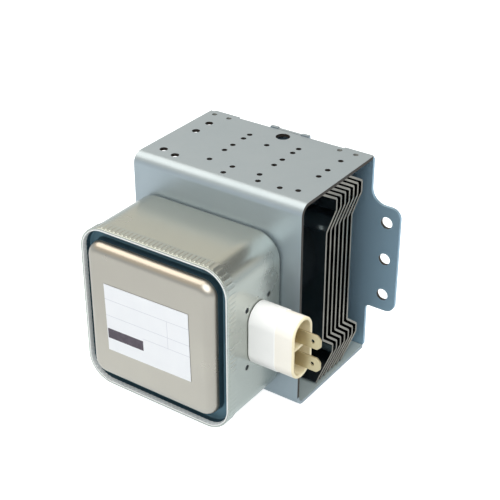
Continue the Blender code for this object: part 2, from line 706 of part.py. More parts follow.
def pole_profile(side):
    """A funnel-shaped pole piece whose rim sits in the anode's rebate. side is 1 at the antenna end."""
    rim = ANODE_RADIUS - ANODE_REBATE_WALL - SEAT
    rim_inner = ANODE_END - ANODE_REBATE_DEPTH + SEAT
    face = POLE_GAP / 2
    outside = [
        (POLE_BORE_RADIUS, face + POLE_SHEET),
        (POLE_TIP_RADIUS - POLE_LEAN, face + POLE_SHEET),
        (POLE_CONE_RADIUS - POLE_LEAN, ANODE_END),
        (rim, ANODE_END),
        (rim, rim_inner),
        (POLE_CONE_RADIUS, rim_inner),
        (POLE_TIP_RADIUS, face),
        (POLE_BORE_RADIUS, face),
    ]
    if side > 0:
        return outside
    return [(radius, -along) for radius, along in reversed(outside)]


def make_pole_pieces():
    turned("pole_piece_input", pole_profile(-1), STAINLESS)
    output = turned("pole_piece_output", pole_profile(1), STAINLESS)
    bm = bmesh.new()
    x = ANTENNA_PASS_RADIUS * antenna_direction().x
    z = AXIS_HEIGHT + ANTENNA_PASS_RADIUS * antenna_direction().y
    hole = ANTENNA_LEAD_DIAMETER + 2 * ANTENNA_PASS_CLEARANCE
    add_drill(bm, (x, (ANODE_END + POLE_GAP / 2) / 2, z), (0, 1, 0), hole, ANODE_END, 12)
    cut(output, cutter_from(bm, "antenna_pass"))


def antenna_direction():
    """The direction, in X and Z, of the vane that carries the antenna lead."""
    angle = math.tau * 0.5 / VANE_COUNT
    return Vector((math.cos(angle), -math.sin(angle)))


def make_cathode():
    """The filament, its two end hats and the two leads that carry them."""
    hat_inner = HAT_GAP / 2
    lead_bore = LEAD_DIAMETER / 2 + SEAT
    input_hat = tube_profile(HAT_RADIUS, HAT_RADIUS - lead_bore, -hat_inner, -hat_inner - HAT_THICKNESS)
    turned("end_hat_input", input_hat, REFRACTORY, 20)
    output_hat = [
        (0.0, hat_inner + HAT_THICKNESS),
        (HAT_RADIUS, hat_inner + HAT_THICKNESS),
        (HAT_RADIUS, hat_inner),
        (0.0, hat_inner),
    ]
    turned("end_hat_output", output_hat, REFRACTORY, 20)
    reach = hat_inner - SEAT - FILAMENT_WIRE / 2
    steps = FILAMENT_TURNS * 7
    turns = []
    for step in range(steps + 1):
        angle = math.tau * FILAMENT_TURNS * step / steps
        y = -reach + 2 * reach * step / steps
        x = FILAMENT_RADIUS * math.cos(angle)
        z = AXIS_HEIGHT + FILAMENT_RADIUS * math.sin(angle)
        turns.append(Vector((x, y, z)))
    wire("filament", turns, FILAMENT_WIRE, REFRACTORY)
    hat_back = -hat_inner - HAT_THICKNESS - SEAT
    make_lead("centre_lead", 0.0, hat_inner - SEAT, -STEM_POST_SPACING / 2)
    make_lead("side_lead", SIDE_LEAD_OFFSET, hat_back, STEM_POST_SPACING / 2)


def make_lead(name, start_x, start_y, end_x):
    """A lead that runs along the tube and jogs sideways before it enters the stem."""
    jog_end = LEAD_STRAIGHT - STEM_REACH
    route = [
        Vector((start_x, start_y, AXIS_HEIGHT)),
        Vector((start_x, jog_end + LEAD_JOG_LENGTH, AXIS_HEIGHT)),
        Vector((end_x, jog_end, AXIS_HEIGHT)),
        Vector((end_x, STEM_FACE_Y, AXIS_HEIGHT)),
    ]
    wire(name, route, LEAD_DIAMETER, REFRACTORY)


def make_stem():
    """The sealed input end: a metal cylinder, a ceramic with two bores, and two terminal posts."""
    cone_y = ANODE_END - (POLE_CONE_RADIUS - POLE_LEAN - SEAL_RADIUS) * pole_slope() + 2 * SEAT
    turned("stem_cylinder", tube_profile(SEAL_RADIUS, SEAL_WALL, -cone_y, -STEM_REACH), STAINLESS)
    turned("output_cylinder", tube_profile(SEAL_RADIUS, SEAL_WALL, OUTPUT_REACH, cone_y), STAINLESS)
    start = -STEM_REACH - SEAT
    disc = [(0.0, start), (SEAL_RADIUS, start), (SEAL_RADIUS, STEM_FACE_Y), (0.0, STEM_FACE_Y)]
    ceramic = turned("stem_ceramic", disc, ALUMINA)
    bm = bmesh.new()
    for side in (-1, 1):
        centre = (side * STEM_POST_SPACING / 2, start - STEM_CERAMIC_LENGTH / 2, AXIS_HEIGHT)
        add_drill(bm, centre, (0, 1, 0), LEAD_DIAMETER + 2 * SEAT, 2 * STEM_CERAMIC_LENGTH, 10)
    cut(ceramic, cutter_from(bm, "stem_bores"))
    for name, side in (("stem_post_left", -1), ("stem_post_right", 1)):
        x = side * STEM_POST_SPACING / 2
        post_start = STEM_FACE_Y - SEAT
        inner_end = Vector((x, post_start, AXIS_HEIGHT))
        outer_end = Vector((x, post_start - STEM_POST_LENGTH, AXIS_HEIGHT))
        wire(name, [inner_end, outer_end], STEM_POST_DIAMETER, TINNED, 2)


def pole_slope():
    """How far a pole piece's cone rises along the axis for each unit of radius."""
    return (ANODE_END - POLE_GAP / 2 - POLE_SHEET) / (POLE_CONE_RADIUS - POLE_TIP_RADIUS)


def make_output():
    """The antenna end: ceramic, exhaust tube, cap and the lead from a vane to the exhaust tube."""
    ceramic_start = OUTPUT_REACH + SEAT
    ceramic_end = ceramic_start + OUTPUT_CERAMIC_LENGTH
    profile = tube_profile(OUTPUT_CERAMIC_RADIUS, OUTPUT_CERAMIC_WALL, ceramic_end, ceramic_start)
    turned("output_ceramic", profile, ALUMINA)
    flange_start = ceramic_end + SEAT
    flange_end = flange_start + EXHAUST_WALL
    tip = flange_end + EXHAUST_LENGTH
    bore = EXHAUST_RADIUS - EXHAUST_WALL
    exhaust = [
        (0.0, tip),
        (EXHAUST_RADIUS - EXHAUST_WALL / 2, tip),
        (EXHAUST_RADIUS, tip - EXHAUST_WALL / 2),
        (EXHAUST_RADIUS, flange_end),
        (OUTPUT_CERAMIC_RADIUS, flange_end),
        (OUTPUT_CERAMIC_RADIUS, flange_start),
        (bore, flange_start),
        (bore, tip - EXHAUST_WALL),
        (0.0, tip - EXHAUST_WALL),
    ]
    turned("exhaust_tube", exhaust, COPPER)
    cap_start = flange_end + SEAT
    cap_end = cap_start + ANTENNA_CAP_LENGTH
    inner = ANTENNA_CAP_RADIUS - ANTENNA_CAP_WALL
    cap = [
        (0.0, cap_end),
        (ANTENNA_CAP_RADIUS - 2 * ANTENNA_CAP_WALL, cap_end),
        (ANTENNA_CAP_RADIUS, cap_end - 2 * ANTENNA_CAP_WALL),
        (ANTENNA_CAP_RADIUS, cap_start),
        (inner, cap_start),
        (inner, cap_end - 2 * ANTENNA_CAP_WALL),
        (inner - ANTENNA_CAP_WALL, cap_end - ANTENNA_CAP_WALL),
        (0.0, cap_end - ANTENNA_CAP_WALL),
    ]
    turned("antenna_cap", cap, STAINLESS)
    vane_top = VANE_HEIGHT / 2 + SEAT
    places = [
        (ANTENNA_FOOT_RADIUS, vane_top),
        (ANTENNA_FOOT_RADIUS, vane_top + ANTENNA_LEAD_DIAMETER / 3),
        (ANTENNA_PASS_RADIUS, POLE_GAP / 2 + POLE_SHEET / 2),
        (ANTENNA_PASS_RADIUS, ANODE_END),
        (0.0, OUTPUT_REACH),
        (0.0, tip - EXHAUST_WALL - SEAT),
    ]
    away = antenna_direction()
    route = [Vector((radius * away.x, y, AXIS_HEIGHT + radius * away.y)) for radius, y in places]
    wire("antenna_lead", route, ANTENNA_LEAD_DIAMETER, COPPER)


def make_gasket():
    """The woven ring that seals the antenna opening, in its pressed retainer."""
    base = PLATE_BACK_Y + SEAT
    top = base + RETAINER_SHEET
    inner = MAGNET_BORE_RADIUS
    retainer = [
        (inner, base + RETAINER_LIP),
        (inner + RETAINER_SHEET, base + RETAINER_LIP),
        (inner + RETAINER_SHEET, top),
        (RETAINER_RADIUS - RETAINER_SHEET, top),
        (RETAINER_RADIUS - RETAINER_SHEET, base + RETAINER_OUTER_LIP),
        (RETAINER_RADIUS, base + RETAINER_OUTER_LIP),
        (RETAINER_RADIUS, base),
        (inner, base),
    ]
    turned("gasket_retainer", retainer, STAINLESS)
    minor = GASKET_THICKNESS / 2
    middle = top + SEAT + minor
    section = circle(minor, 8)
    gasket = [(GASKET_RADIUS + place.x, middle - place.y) for place in section]
    turned("rf_gasket", gasket, MESH_WIRE)


# Filter box


def box_ring(inset, y):
    """A rounded rectangle that follows the box's outline, moved inwards by the inset."""
    half_width = BOX_WIDTH / 2 - inset
    half_height = BOX_HEIGHT / 2 - inset
    return (half_width, half_height, BOX_CORNER_RADIUS - inset, y)


def quarter_bend(inset, y, radius, start, end):
    """Rings round a bend. The angles are measured from outwards towards the back."""
    steps = 3
    rings = []
    for step in range(steps + 1):
        angle = math.radians(start + (end - start) * step / steps)
        rings.append(box_ring(inset - radius * math.cos(angle), y + radius * math.sin(angle)))
    return rings


def make_filter_case():
    """The drawn box that shields the filter, open at the front, with a flared band at its rim."""
    rings = [
        box_ring(-RIM_FLARE, BOX_RIM_Y),
        box_ring(-RIM_FLARE, BOX_RIM_Y + RIM_BAND),
        box_ring(0.0, BOX_RIM_Y + RIM_BAND + RIM_SLOPE),
    ]
    rings += quarter_bend(BOX_HEEL_RADIUS, BOX_BACK_Y - BOX_HEEL_RADIUS, BOX_HEEL_RADIUS, 0, 90)
    matrix = Matrix.Translation((BOX_CENTRE_X, 0.0, BOX_CENTRE_Z))
    case = drawn_shell("filter_case", rings, BOX_SHEET, BOX_STEEL, matrix, cap_last=True)
    bm = bmesh.new()
    stem_centre = (0.0, BOX_BACK_Y - BOX_SHEET / 2, AXIS_HEIGHT)
    add_drill(bm, stem_centre, (0, 1, 0), 2 * MAGNET_BORE_RADIUS, 4 * BOX_SHEET, ROUND_STEPS)
    for y, z in RIVETS:
        centre = (BOX_RIGHT_X, PLUG_CENTRE_Y + y, PLUG_CENTRE_Z + z)
        add_drill(bm, centre, (1, 0, 0), RIVET_HOLE_DIAMETER, 4 * BOX_SHEET, 8)
    cut(case, cutter_from(bm, "filter_case_holes"))
    cut(case, oval_cutter("filter_case_oval", BOX_RIGHT_X))


def core_half_width():
    return PLUG_WIDTH / 2 - PLUG_WALL - SEAT


def core_half_height():
    return PLUG_HEIGHT / 2 - PLUG_WALL - SEAT


def oval_cutter(name, x):
    """The oval opening in a wall for the capacitor's core."""
    half_width = core_half_width() + SEAT
    half_height = core_half_height() + SEAT
    bm = bmesh.new()
    reach = 4 * PLUG_FLANGE_SHEET
    ends = [(half_width, half_height, half_width, y) for y in (-reach / 2, reach / 2)]
    for loop in ring_loops(bm, ends):
        bmesh.ops.contextual_create(bm, geom=loop)
    cutter = cutter_from(bm, name)
    cutter.matrix_world = Matrix.Translation((x, PLUG_CENTRE_Y, PLUG_CENTRE_Z)) @ FACING_RIGHT
    return cutter


def make_filter_cover():
    """The lid: a raised panel in a groove, with a turned-up wall against the case's rim."""
    wall = BOX_SHEET - RIM_FLARE + SEAT + COVER_SHEET
    panel = wall + (COVER_GROOVE_SIDE_WIDTH + COVER_GROOVE_END_WIDTH) / 2
    wider = (COVER_GROOVE_END_WIDTH - COVER_GROOVE_SIDE_WIDTH) / 2
    bend = COVER_GROOVE_RADIUS
    edge = COVER_EDGE_RADIUS
    panel_rings = quarter_bend(panel - bend, COVER_FLOOR_Y - bend, bend, 90, 180)
    panel_rings += quarter_bend(panel + edge, COVER_FACE_Y + edge, edge, 0, -90)
    rings = [box_ring(wall, BOX_RIM_Y)]
    rings += quarter_bend(wall + bend, COVER_FLOOR_Y - bend, bend, 0, 90)
    rings += [(width + wider, height - wider, radius, y) for width, height, radius, y in panel_rings]
    matrix = Matrix.Translation((BOX_CENTRE_X, 0.0, BOX_CENTRE_Z))
    cover = drawn_shell("filter_cover", rings, COVER_SHEET, COVER_STEEL, matrix, cap_last=True)
    cover.modifiers["Sheet"].offset = cover_side(cover)


def cover_side(cover):
    """Which side of the modelled surface the sheet lies on, so that it lies behind the visible one."""
    panel = max(cover.data.polygons, key=lambda face: face.area)
    return -1.0 if panel.normal.y < 0 else 1.0


def make_label():
    """The plain paper label on the cover."""
    half_width = LABEL_WIDTH / 2
    half_height = LABEL_HEIGHT / 2
    corners = [(half_width, -half_height), (half_width, half_height), (-half_width, half_height)]
    outline = [Vector(place) for place in corners + [(-half_width, -half_height)]]
    y = COVER_FACE_Y - LABEL_GAP - LABEL_THICKNESS / 2
    tilt = Matrix.Rotation(-LABEL_TILT, 4, "Y")
    centre = (BOX_CENTRE_X + LABEL_OFFSET_X, y, BOX_CENTRE_Z + LABEL_OFFSET_Z)
    matrix = Matrix.Translation(centre) @ tilt @ FACING_FRONT
    flat_piece("label", [outline], LABEL_THICKNESS, PAPER, matrix)


# Feed-through capacitor and chokes


def make_capacitor():
    """The oval plastic shell, its resin core, the flange behind the wall and the two tab terminals."""
    half_width = PLUG_WIDTH / 2
    half_height = PLUG_HEIGHT / 2
    centre = Vector((0.0, PLUG_CENTRE_Y, PLUG_CENTRE_Z))
    at_wall = Matrix.Translation(centre) @ FACING_RIGHT
    shell_rings = [(half_width, half_height, half_width, x) for x in (PLUG_ROOT_X, PLUG_MOUTH_X)]
    drawn_shell("capacitor_shell", shell_rings, PLUG_WALL, PLASTIC, at_wall, cap_last=False)

    core_width = core_half_width()
    core_height = core_half_height()
    bm = bmesh.new()
    ends = [(core_width, core_height, core_width, x) for x in (RESIN_TAIL_X, PLUG_MOUTH_X - RESIN_DEPTH)]
    for loop in ring_loops(bm, ends):
        bmesh.ops.contextual_create(bm, geom=loop)
    bmesh.ops.recalc_face_normals(bm, faces=bm.faces)
    core = add_part("capacitor_core", mesh_from(bm, "capacitor_core"), RESIN, at_wall)
    slots = bmesh.new()
    slot_size = (TAB_TIP_X - TAB_TAIL_X, TAB_THICKNESS + 2 * SEAT, TAB_WIDTH + 2 * SEAT)
    for side in (-1, 1):
        slot_z = PLUG_CENTRE_Z + side * TAB_SPACING / 2
        add_block(slots, ((TAB_TAIL_X + TAB_TIP_X) / 2, PLUG_CENTRE_Y, slot_z), slot_size)
    cut(core, cutter_from(slots, "tab_slots"))

    corner = PLUG_FLANGE_CORNER
    round_trip = ((1, -1), (1, 1), (-1, 1), (-1, -1))
    flange_corners = [(y * FLANGE_HALF_WIDTH, z * FLANGE_HALF_HEIGHT, corner) for y, z in round_trip]
    oval = core_width + SEAT
    oval_rise = core_height + SEAT
    oval_corners = [(y * oval, z * oval_rise, oval) for y, z in round_trip]
    outlines = [rounded(flange_corners), rounded(oval_corners)]
    outlines += [circle(RIVET_HOLE_DIAMETER / 2, 8, y, z) for y, z in RIVETS]
    flange_x = BOX_RIGHT_X - BOX_SHEET - SEAT - PLUG_FLANGE_SHEET / 2
    flange_matrix = Matrix.Translation(centre + Vector((flange_x, 0.0, 0.0))) @ FACING_RIGHT @ FACING_FRONT
    flat_piece("capacitor_flange", outlines, PLUG_FLANGE_SHEET, ZINC, flange_matrix)

    half_tab = TAB_WIDTH / 2
    chamfer = TAB_TIP_CHAMFER
    tab = [
        (TAB_TAIL_X, -half_tab),
        (TAB_TIP_X - chamfer, -half_tab),
        (TAB_TIP_X, -half_tab + chamfer),
        (TAB_TIP_X, half_tab - chamfer),
        (TAB_TIP_X - chamfer, half_tab),
        (TAB_TAIL_X, half_tab),
    ]
    outline = [Vector(place) for place in tab]
    hole = circle(TAB_HOLE_DIAMETER / 2, 10, TAB_TIP_X - TAB_HOLE_SETBACK, 0.0)
    for name, side in (("terminal_upper", 1), ("terminal_lower", -1)):
        place = centre + Vector((0.0, 0.0, side * TAB_SPACING / 2))
        matrix = Matrix.Translation(place) @ FACING_FRONT
        flat_piece(name, [outline, hole], TAB_THICKNESS, TINNED, matrix)


def choke_route(side, post_x):
    """From a tab's tail, round the core in close turns, and on to a stem post.

    side is 1 for the upper choke.
    """
    radius = CHOKE_CORE_DIAMETER / 2 + SEAT + CHOKE_WIRE / 2
    centre_z = AXIS_HEIGHT + side * CHOKE_SPREAD
    half_length = CHOKE_TURNS * CHOKE_PITCH / 2
    right_x = CHOKE_CENTRE_X + half_length
    left_x = CHOKE_CENTRE_X - half_length
    tab_z = PLUG_CENTRE_Z + side * TAB_SPACING / 2
    start_x = TAB_TAIL_X - SEAT
    near_z = centre_z - side * radius
    way_in = [
        Vector((start_x, PLUG_CENTRE_Y, tab_z)),
        Vector((start_x - 1.5 * CHOKE_WIRE, PLUG_CENTRE_Y, tab_z)),
        Vector((right_x + 2 * CHOKE_WIRE, (PLUG_CENTRE_Y + CHOKE_CENTRE_Y) / 2, (tab_z + near_z) / 2)),
        Vector((right_x + CHOKE_PITCH / 2, CHOKE_CENTRE_Y + radius / 2, near_z)),
    ]
    steps = CHOKE_TURNS * 8
    turns = []
    for step in range(steps + 1):
        angle = math.tau * CHOKE_TURNS * step / steps
        x = right_x - 2 * half_length * step / steps
        y = CHOKE_CENTRE_Y - radius * math.sin(angle)
        turns.append(Vector((x, y, near_z + side * radius * (1 - math.cos(angle)))))
    post_y = STEM_FACE_Y - SEAT - STEM_POST_LENGTH / 2
    post_z = AXIS_HEIGHT + side * (STEM_POST_DIAMETER / 2 + SEAT)
    middle_z = (near_z + post_z) / 2 + side * CHOKE_WIRE
    way_out = [
        Vector((left_x - CHOKE_PITCH / 2, CHOKE_CENTRE_Y, near_z - side * CHOKE_WIRE)),
        Vector(((left_x + post_x) / 2, (CHOKE_CENTRE_Y + post_y) / 2, middle_z)),
        Vector((post_x, post_y, post_z + side * 2 * CHOKE_WIRE)),
        Vector((post_x, post_y, post_z)),
    ]
    return smooth_route(way_in, 3)[:-1] + turns + smooth_route([turns[-1], *way_out], 3)[1:]


def make_chokes():
    """Two filter chokes, each a coil of enamelled wire on a ferrite rod."""
    half_length = CHOKE_TURNS * CHOKE_PITCH / 2 + CHOKE_CORE_OVERHANG
    for place, side in (("upper", 1), ("lower", -1)):
        post_x = -side * STEM_POST_SPACING / 2
        wire("choke_" + place, choke_route(side, post_x), CHOKE_WIRE, COPPER)
        z = AXIS_HEIGHT + side * CHOKE_SPREAD
        left = Vector((CHOKE_CENTRE_X - half_length, CHOKE_CENTRE_Y, z))
        right = Vector((CHOKE_CENTRE_X + half_length, CHOKE_CENTRE_Y, z))
        wire("ferrite_" + place, [left, right], CHOKE_CORE_DIAMETER, FERRITE, 3)


make_yoke_frame()
make_mounting_plate()
make_magnets()
make_fins()
make_anode()
make_pole_pieces()
make_cathode()
make_stem()
make_output()
make_gasket()
make_filter_case()
make_filter_cover()
make_label()
make_capacitor()
make_chokes()
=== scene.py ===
# %% [markdown]
# # A magnetron from a microwave oven
#
# A magnetron is the vacuum tube that makes the microwaves in an oven. Around the tube sit two ring
# magnets, a stack of cooling fins and a steel yoke. A drawn steel box on the front hides the filter
# that keeps the waves off the mains wires.
#
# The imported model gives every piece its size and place. This lesson dresses it: the pieces that can
# be seen are modelled again with soft bends and fine edges, and every piece gets a finish.

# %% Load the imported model
import math

import bmesh
import bpy
from mathutils import Matrix, Vector


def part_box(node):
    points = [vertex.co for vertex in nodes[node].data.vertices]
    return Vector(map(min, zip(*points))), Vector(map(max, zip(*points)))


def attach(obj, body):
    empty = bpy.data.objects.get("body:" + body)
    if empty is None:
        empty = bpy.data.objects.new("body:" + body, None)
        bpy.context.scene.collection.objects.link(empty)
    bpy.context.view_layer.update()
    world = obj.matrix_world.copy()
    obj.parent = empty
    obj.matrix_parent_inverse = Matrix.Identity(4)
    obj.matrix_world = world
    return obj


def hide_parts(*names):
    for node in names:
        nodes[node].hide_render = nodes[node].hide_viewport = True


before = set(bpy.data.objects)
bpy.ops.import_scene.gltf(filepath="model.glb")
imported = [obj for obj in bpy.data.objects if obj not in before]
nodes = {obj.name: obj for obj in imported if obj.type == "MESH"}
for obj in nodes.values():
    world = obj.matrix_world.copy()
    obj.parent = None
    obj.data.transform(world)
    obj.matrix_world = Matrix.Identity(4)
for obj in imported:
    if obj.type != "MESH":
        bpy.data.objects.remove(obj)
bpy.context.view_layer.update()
MM = 0.001

# %% [markdown]
# ## The camera
#
# The photograph looks down on the box's front from the right. The camera stands on a circle round
# the object: one angle says how far round it is, one how high, and the lens decides how much of the
# object fits in the frame. A small shift moves the picture without turning the camera.

# %% Place the camera
LOOK_AT = Vector((16.21, -27.0, 64.48)) * MM
ROUND = math.radians(34.871)
UP = math.radians(30.2626)
DISTANCE = 469.87 * MM

toward_camera = Vector((math.sin(ROUND) * math.cos(UP), -math.cos(ROUND) * math.cos(UP), math.sin(UP)))
camera_data = bpy.data.cameras.new("camera")
camera_data.lens = 87.27
camera_data.sensor_width = 36.0
camera_data.shift_x = 0.00236
camera_data.shift_y = 0.0068
camera_data.clip_start = 0.01
camera = bpy.data.objects.new("camera", camera_data)
camera.location = LOOK_AT + toward_camera * DISTANCE
camera.rotation_euler = toward_camera.to_track_quat("Z", "Y").to_euler()
bpy.context.scene.collection.objects.link(camera)
bpy.context.scene.camera = camera
print("camera at", tuple(round(value, 3) for value in camera.location))

# %% [markdown]
# ## A way to write materials
#
# Every finish here is a small node tree. The helper below adds a node, fills its inputs and returns
# it, so that a finish reads from top to bottom like a recipe. An input is given either a plain value
# or the output of an earlier node.

# %% Helpers for node trees
def add_node(tree, kind, inputs=None, **settings):
    made = tree.nodes.new(kind)
    for key, value in settings.items():
        setattr(made, key, value)
    for key, value in (inputs or {}).items():
        if isinstance(value, bpy.types.NodeSocket):
            tree.links.new(value, made.inputs[key])
        else:
            made.inputs[key].default_value = value
    return made


def new_finish(name):
    """A material with its tree, its shader and the place of each point on the object."""
    material = bpy.data.materials.new(name + "_finish")
    material.use_nodes = True
    tree = material.node_tree
    place = add_node(tree, "ShaderNodeTexCoord").outputs["Object"]
    return material, tree, tree.nodes["Principled BSDF"], place


def stretched(tree, place, scale):
    return add_node(tree, "ShaderNodeMapping", {"Vector": place, "Scale": scale}).outputs["Vector"]


def noise(tree, place, scale, detail=2.0, roughness=0.5):
    inputs = {"Vector": place, "Scale": scale, "Detail": detail, "Roughness": roughness}
    return add_node(tree, "ShaderNodeTexNoise", inputs).outputs["Fac"]


def between(tree, factor, low, high, start=0.3, end=0.7):
    """A number that goes from low to high as the factor goes from start to end."""
    inputs = {"Value": factor, "From Min": start, "From Max": end, "To Min": low, "To Max": high}
    return add_node(tree, "ShaderNodeMapRange", inputs).outputs["Result"]


def two_colours(tree, factor, first, second):
    inputs = {"Factor": factor, "A": (*first, 1.0), "B": (*second, 1.0)}
    return add_node(tree, "ShaderNodeMix", inputs, data_type="RGBA").outputs["Result"]


def bumps(tree, height, distance, strength=1.0):
    inputs = {"Height": height, "Distance": distance, "Strength": strength}
    return add_node(tree, "ShaderNodeBump", inputs).outputs["Normal"]


def compute(tree, operation, *values):
    """What a math node makes of plain values and the outputs of earlier nodes."""
    return add_node(tree, "ShaderNodeMath", dict(enumerate(values)), operation=operation).outputs[0]


def measure(tree, operation, *vectors):
    """The number that a vector math node makes, such as a length or a dot product."""
    made = add_node(tree, "ShaderNodeVectorMath", dict(enumerate(vectors)), operation=operation)
    return made.outputs["Value"]


print("material helpers ready")

# %% [markdown]
# ## Sheet metal
#
# The yoke, its plate and the box are steel sheet. Rolled and plated sheet isn't a mirror: it has a
# fine grain that blurs what it reflects, and cloudy patches where the plating is a little duller.
# Two noises give both. The fine one is stretched along the rolling direction and drives the bump,
# and the large one moves the colour and the roughness by a few per cent.
#
# Some finishes are copies painted lighter or darker for light and shade. Near-black ones for cut edges, hole
# walls and dents are painted shade, and paler ones for the yoke's lower panel and the lid's lip are painted
# light. These are less metallic than a clean sheet.

# %% Sheet metal finishes
ALONG_X, ALONG_Y = (0.4, 1.0, 1.0), (1.0, 0.4, 1.0)
CLOUD_SIZE, GRAIN_SIZE = 14 * MM, 0.5 * MM


def sheet_metal(name, colour, duller, gloss, grain=(1.0, 1.0, 1.0), relief=0.0, metallic=1.0):
    """Sheet with clouds from colour to duller, whose roughness follows the gloss pair."""
    material, tree, shader, place = new_finish(name)
    clouds = noise(tree, place, 1 / CLOUD_SIZE, 3.0)
    fine = noise(tree, stretched(tree, place, grain), 1 / GRAIN_SIZE)
    colours = two_colours(tree, between(tree, clouds, 0.0, 1.0), colour, duller)
    tree.links.new(colours, shader.inputs["Base Color"])
    tree.links.new(between(tree, clouds, *gloss), shader.inputs["Roughness"])
    tree.links.new(bumps(tree, fine, relief * MM), shader.inputs["Normal"])
    shader.inputs["Metallic"].default_value = metallic
    return material


zinc_plated_steel = sheet_metal(
    "zinc_plated_steel", (0.385, 0.44, 0.475), (0.365, 0.42, 0.455), (0.38, 0.42), ALONG_Y, 0.0003, 0.75
)
# Painted reflection: the yoke's zinc made bluer and darker for the front-facing plate.
plate_steel = sheet_metal(
    "plate_steel", (0.345, 0.50, 0.61), (0.325, 0.475, 0.585), (0.42, 0.48), ALONG_X, 0.0003, 0.7
)
box_steel = sheet_metal(
    "box_steel", (0.485, 0.51, 0.47), (0.465, 0.49, 0.455), (0.24, 0.28), ALONG_Y, 0.0001, 0.85
)
lid_steel = sheet_metal(
    "lid_steel", (0.465, 0.43, 0.375), (0.45, 0.415, 0.365), (0.27, 0.31), ALONG_X, 0.0001, 0.95
)
# Painted light: a pale copy for the lid's lip, lit from above.
lid_lip_painted_light = sheet_metal("lid_lip_painted_light", (0.80, 0.80, 0.78), (0.76, 0.76, 0.74), (0.40, 0.48), metallic=0.2)
# Painted shade: a dark blue copy for the lid's deep groove.
groove_painted_shade = sheet_metal("groove_painted_shade", (0.105, 0.18, 0.22), (0.09, 0.16, 0.20), (0.52, 0.60))
# Painted shade, with the raw steel of a cut only part of it: a near-black copy for cut edges and hole walls.
raw_edge_painted_shade = sheet_metal(
    "raw_edge_painted_shade", (0.035, 0.028, 0.023), (0.05, 0.04, 0.033), (0.5, 0.6), relief=0.001, metallic=0.5
)
# Painted light: a paler, less metallic copy of the zinc for the lower panel's upper side.
lower_panel_painted_light = sheet_metal("lower_panel_painted_light", (0.50, 0.56, 0.54), (0.44, 0.50, 0.48), (0.45, 0.55), metallic=0.3)
# Painted shade: a near-black copy for the stake dents.
dent_painted_shade = sheet_metal(
    "dent_painted_shade", (0.07, 0.075, 0.07), (0.10, 0.105, 0.10), (0.5, 0.6), relief=0.001, metallic=0.5
)
# Painted shade and painted reflection: bright aluminium darkened and tinted teal for the shaded gaps between
# the fins.
fin_aluminium = sheet_metal("fin_aluminium", (0.16, 0.20, 0.22), (0.13, 0.17, 0.19), (0.10, 0.18))
# Painted light: a lighter, tan copy for the fins' outward side edges.
fin_rim_painted_light = sheet_metal(
    "fin_rim_painted_light", (0.34, 0.315, 0.27), (0.24, 0.225, 0.20), (0.30, 0.44), relief=0.002, metallic=0.9
)
stainless = sheet_metal("stainless", (0.58, 0.57, 0.54), (0.52, 0.52, 0.50), (0.18, 0.28))
tinned_brass = sheet_metal("tinned_brass", (0.56, 0.48, 0.30), (0.50, 0.43, 0.27), (0.30, 0.38), metallic=0.8)
copper = sheet_metal("copper", (0.72, 0.40, 0.28), (0.60, 0.31, 0.21), (0.24, 0.38))
refractory_metal = sheet_metal("refractory_metal", (0.30, 0.30, 0.32), (0.24, 0.24, 0.26), (0.35, 0.5))
print("sheet metal finishes:", len(bpy.data.materials))

# %% [markdown]
# ## Plastic, resin, ceramic, ferrite and paper
#
# These have no metal in them, so their own colour shows. Moulded plastic is smooth with a faint
# waviness, cast resin is cloudy, and ferrite and fired ceramic are dull and finely pitted.

# %% Finishes without metal
def cast_finish(name, colour, second, cloud_size, gloss, pit_size, pit_depth):
    """A finish with clouds of two colours and with pits. Sizes are in millimetres."""
    material, tree, shader, place = new_finish(name)
    clouds = noise(tree, place, 1 / (cloud_size * MM), 3.0)
    pits = noise(tree, place, 1 / (pit_size * MM))
    colours = two_colours(tree, between(tree, clouds, 0.0, 1.0), colour, second)
    tree.links.new(colours, shader.inputs["Base Color"])
    tree.links.new(between(tree, pits, *gloss), shader.inputs["Roughness"])
    tree.links.new(bumps(tree, pits, pit_depth * MM), shader.inputs["Normal"])
    return material


white_plastic = cast_finish(
    "white_plastic", (0.85, 0.83, 0.80), (0.83, 0.81, 0.78), 9.0, (0.32, 0.42), 1.2, 0.003
)
cream_plastic = cast_finish(
    "cream_plastic", (0.885, 0.83, 0.74), (0.865, 0.81, 0.715), 9.0, (0.32, 0.42), 1.2, 0.003
)
# Painted reflection: the same plastic, made yellower for the light that the resin throws back.
shell_painted_bounce = cast_finish(
    "shell_painted_bounce", (0.87, 0.77, 0.53), (0.83, 0.72, 0.47), 6.0, (0.40, 0.52), 1.0, 0.003
)
cast_resin = cast_finish("cast_resin", (0.72, 0.60, 0.30), (0.64, 0.52, 0.25), 3.0, (0.35, 0.5), 0.8, 0.02)
ferrite = cast_finish("ferrite", (0.045, 0.046, 0.05), (0.07, 0.07, 0.072), 4.0, (0.45, 0.65), 0.4, 0.02)
alumina = cast_finish("alumina", (0.82, 0.79, 0.76), (0.78, 0.75, 0.71), 5.0, (0.4, 0.55), 0.3, 0.01)
label_paper = cast_finish(
    "label_paper", (0.80, 0.80, 0.81), (0.78, 0.78, 0.795), 6.0, (0.38, 0.48), 0.25, 0.003
)
ruling_ink = cast_finish("ruling_ink", (0.56, 0.56, 0.60), (0.60, 0.60, 0.64), 3.0, (0.4, 0.5), 0.25, 0.003)
dark_ink = cast_finish("dark_ink", (0.045, 0.03, 0.045), (0.07, 0.05, 0.07), 2.0, (0.35, 0.5), 0.25, 0.003)
print("finishes in all:", len(bpy.data.materials))

# %% [markdown]
# ## Tools for shaping a mesh
#
# A few moves come back in most pieces, such as bevelling a point of an outline into a round corner
# or extruding a face into a sheet.

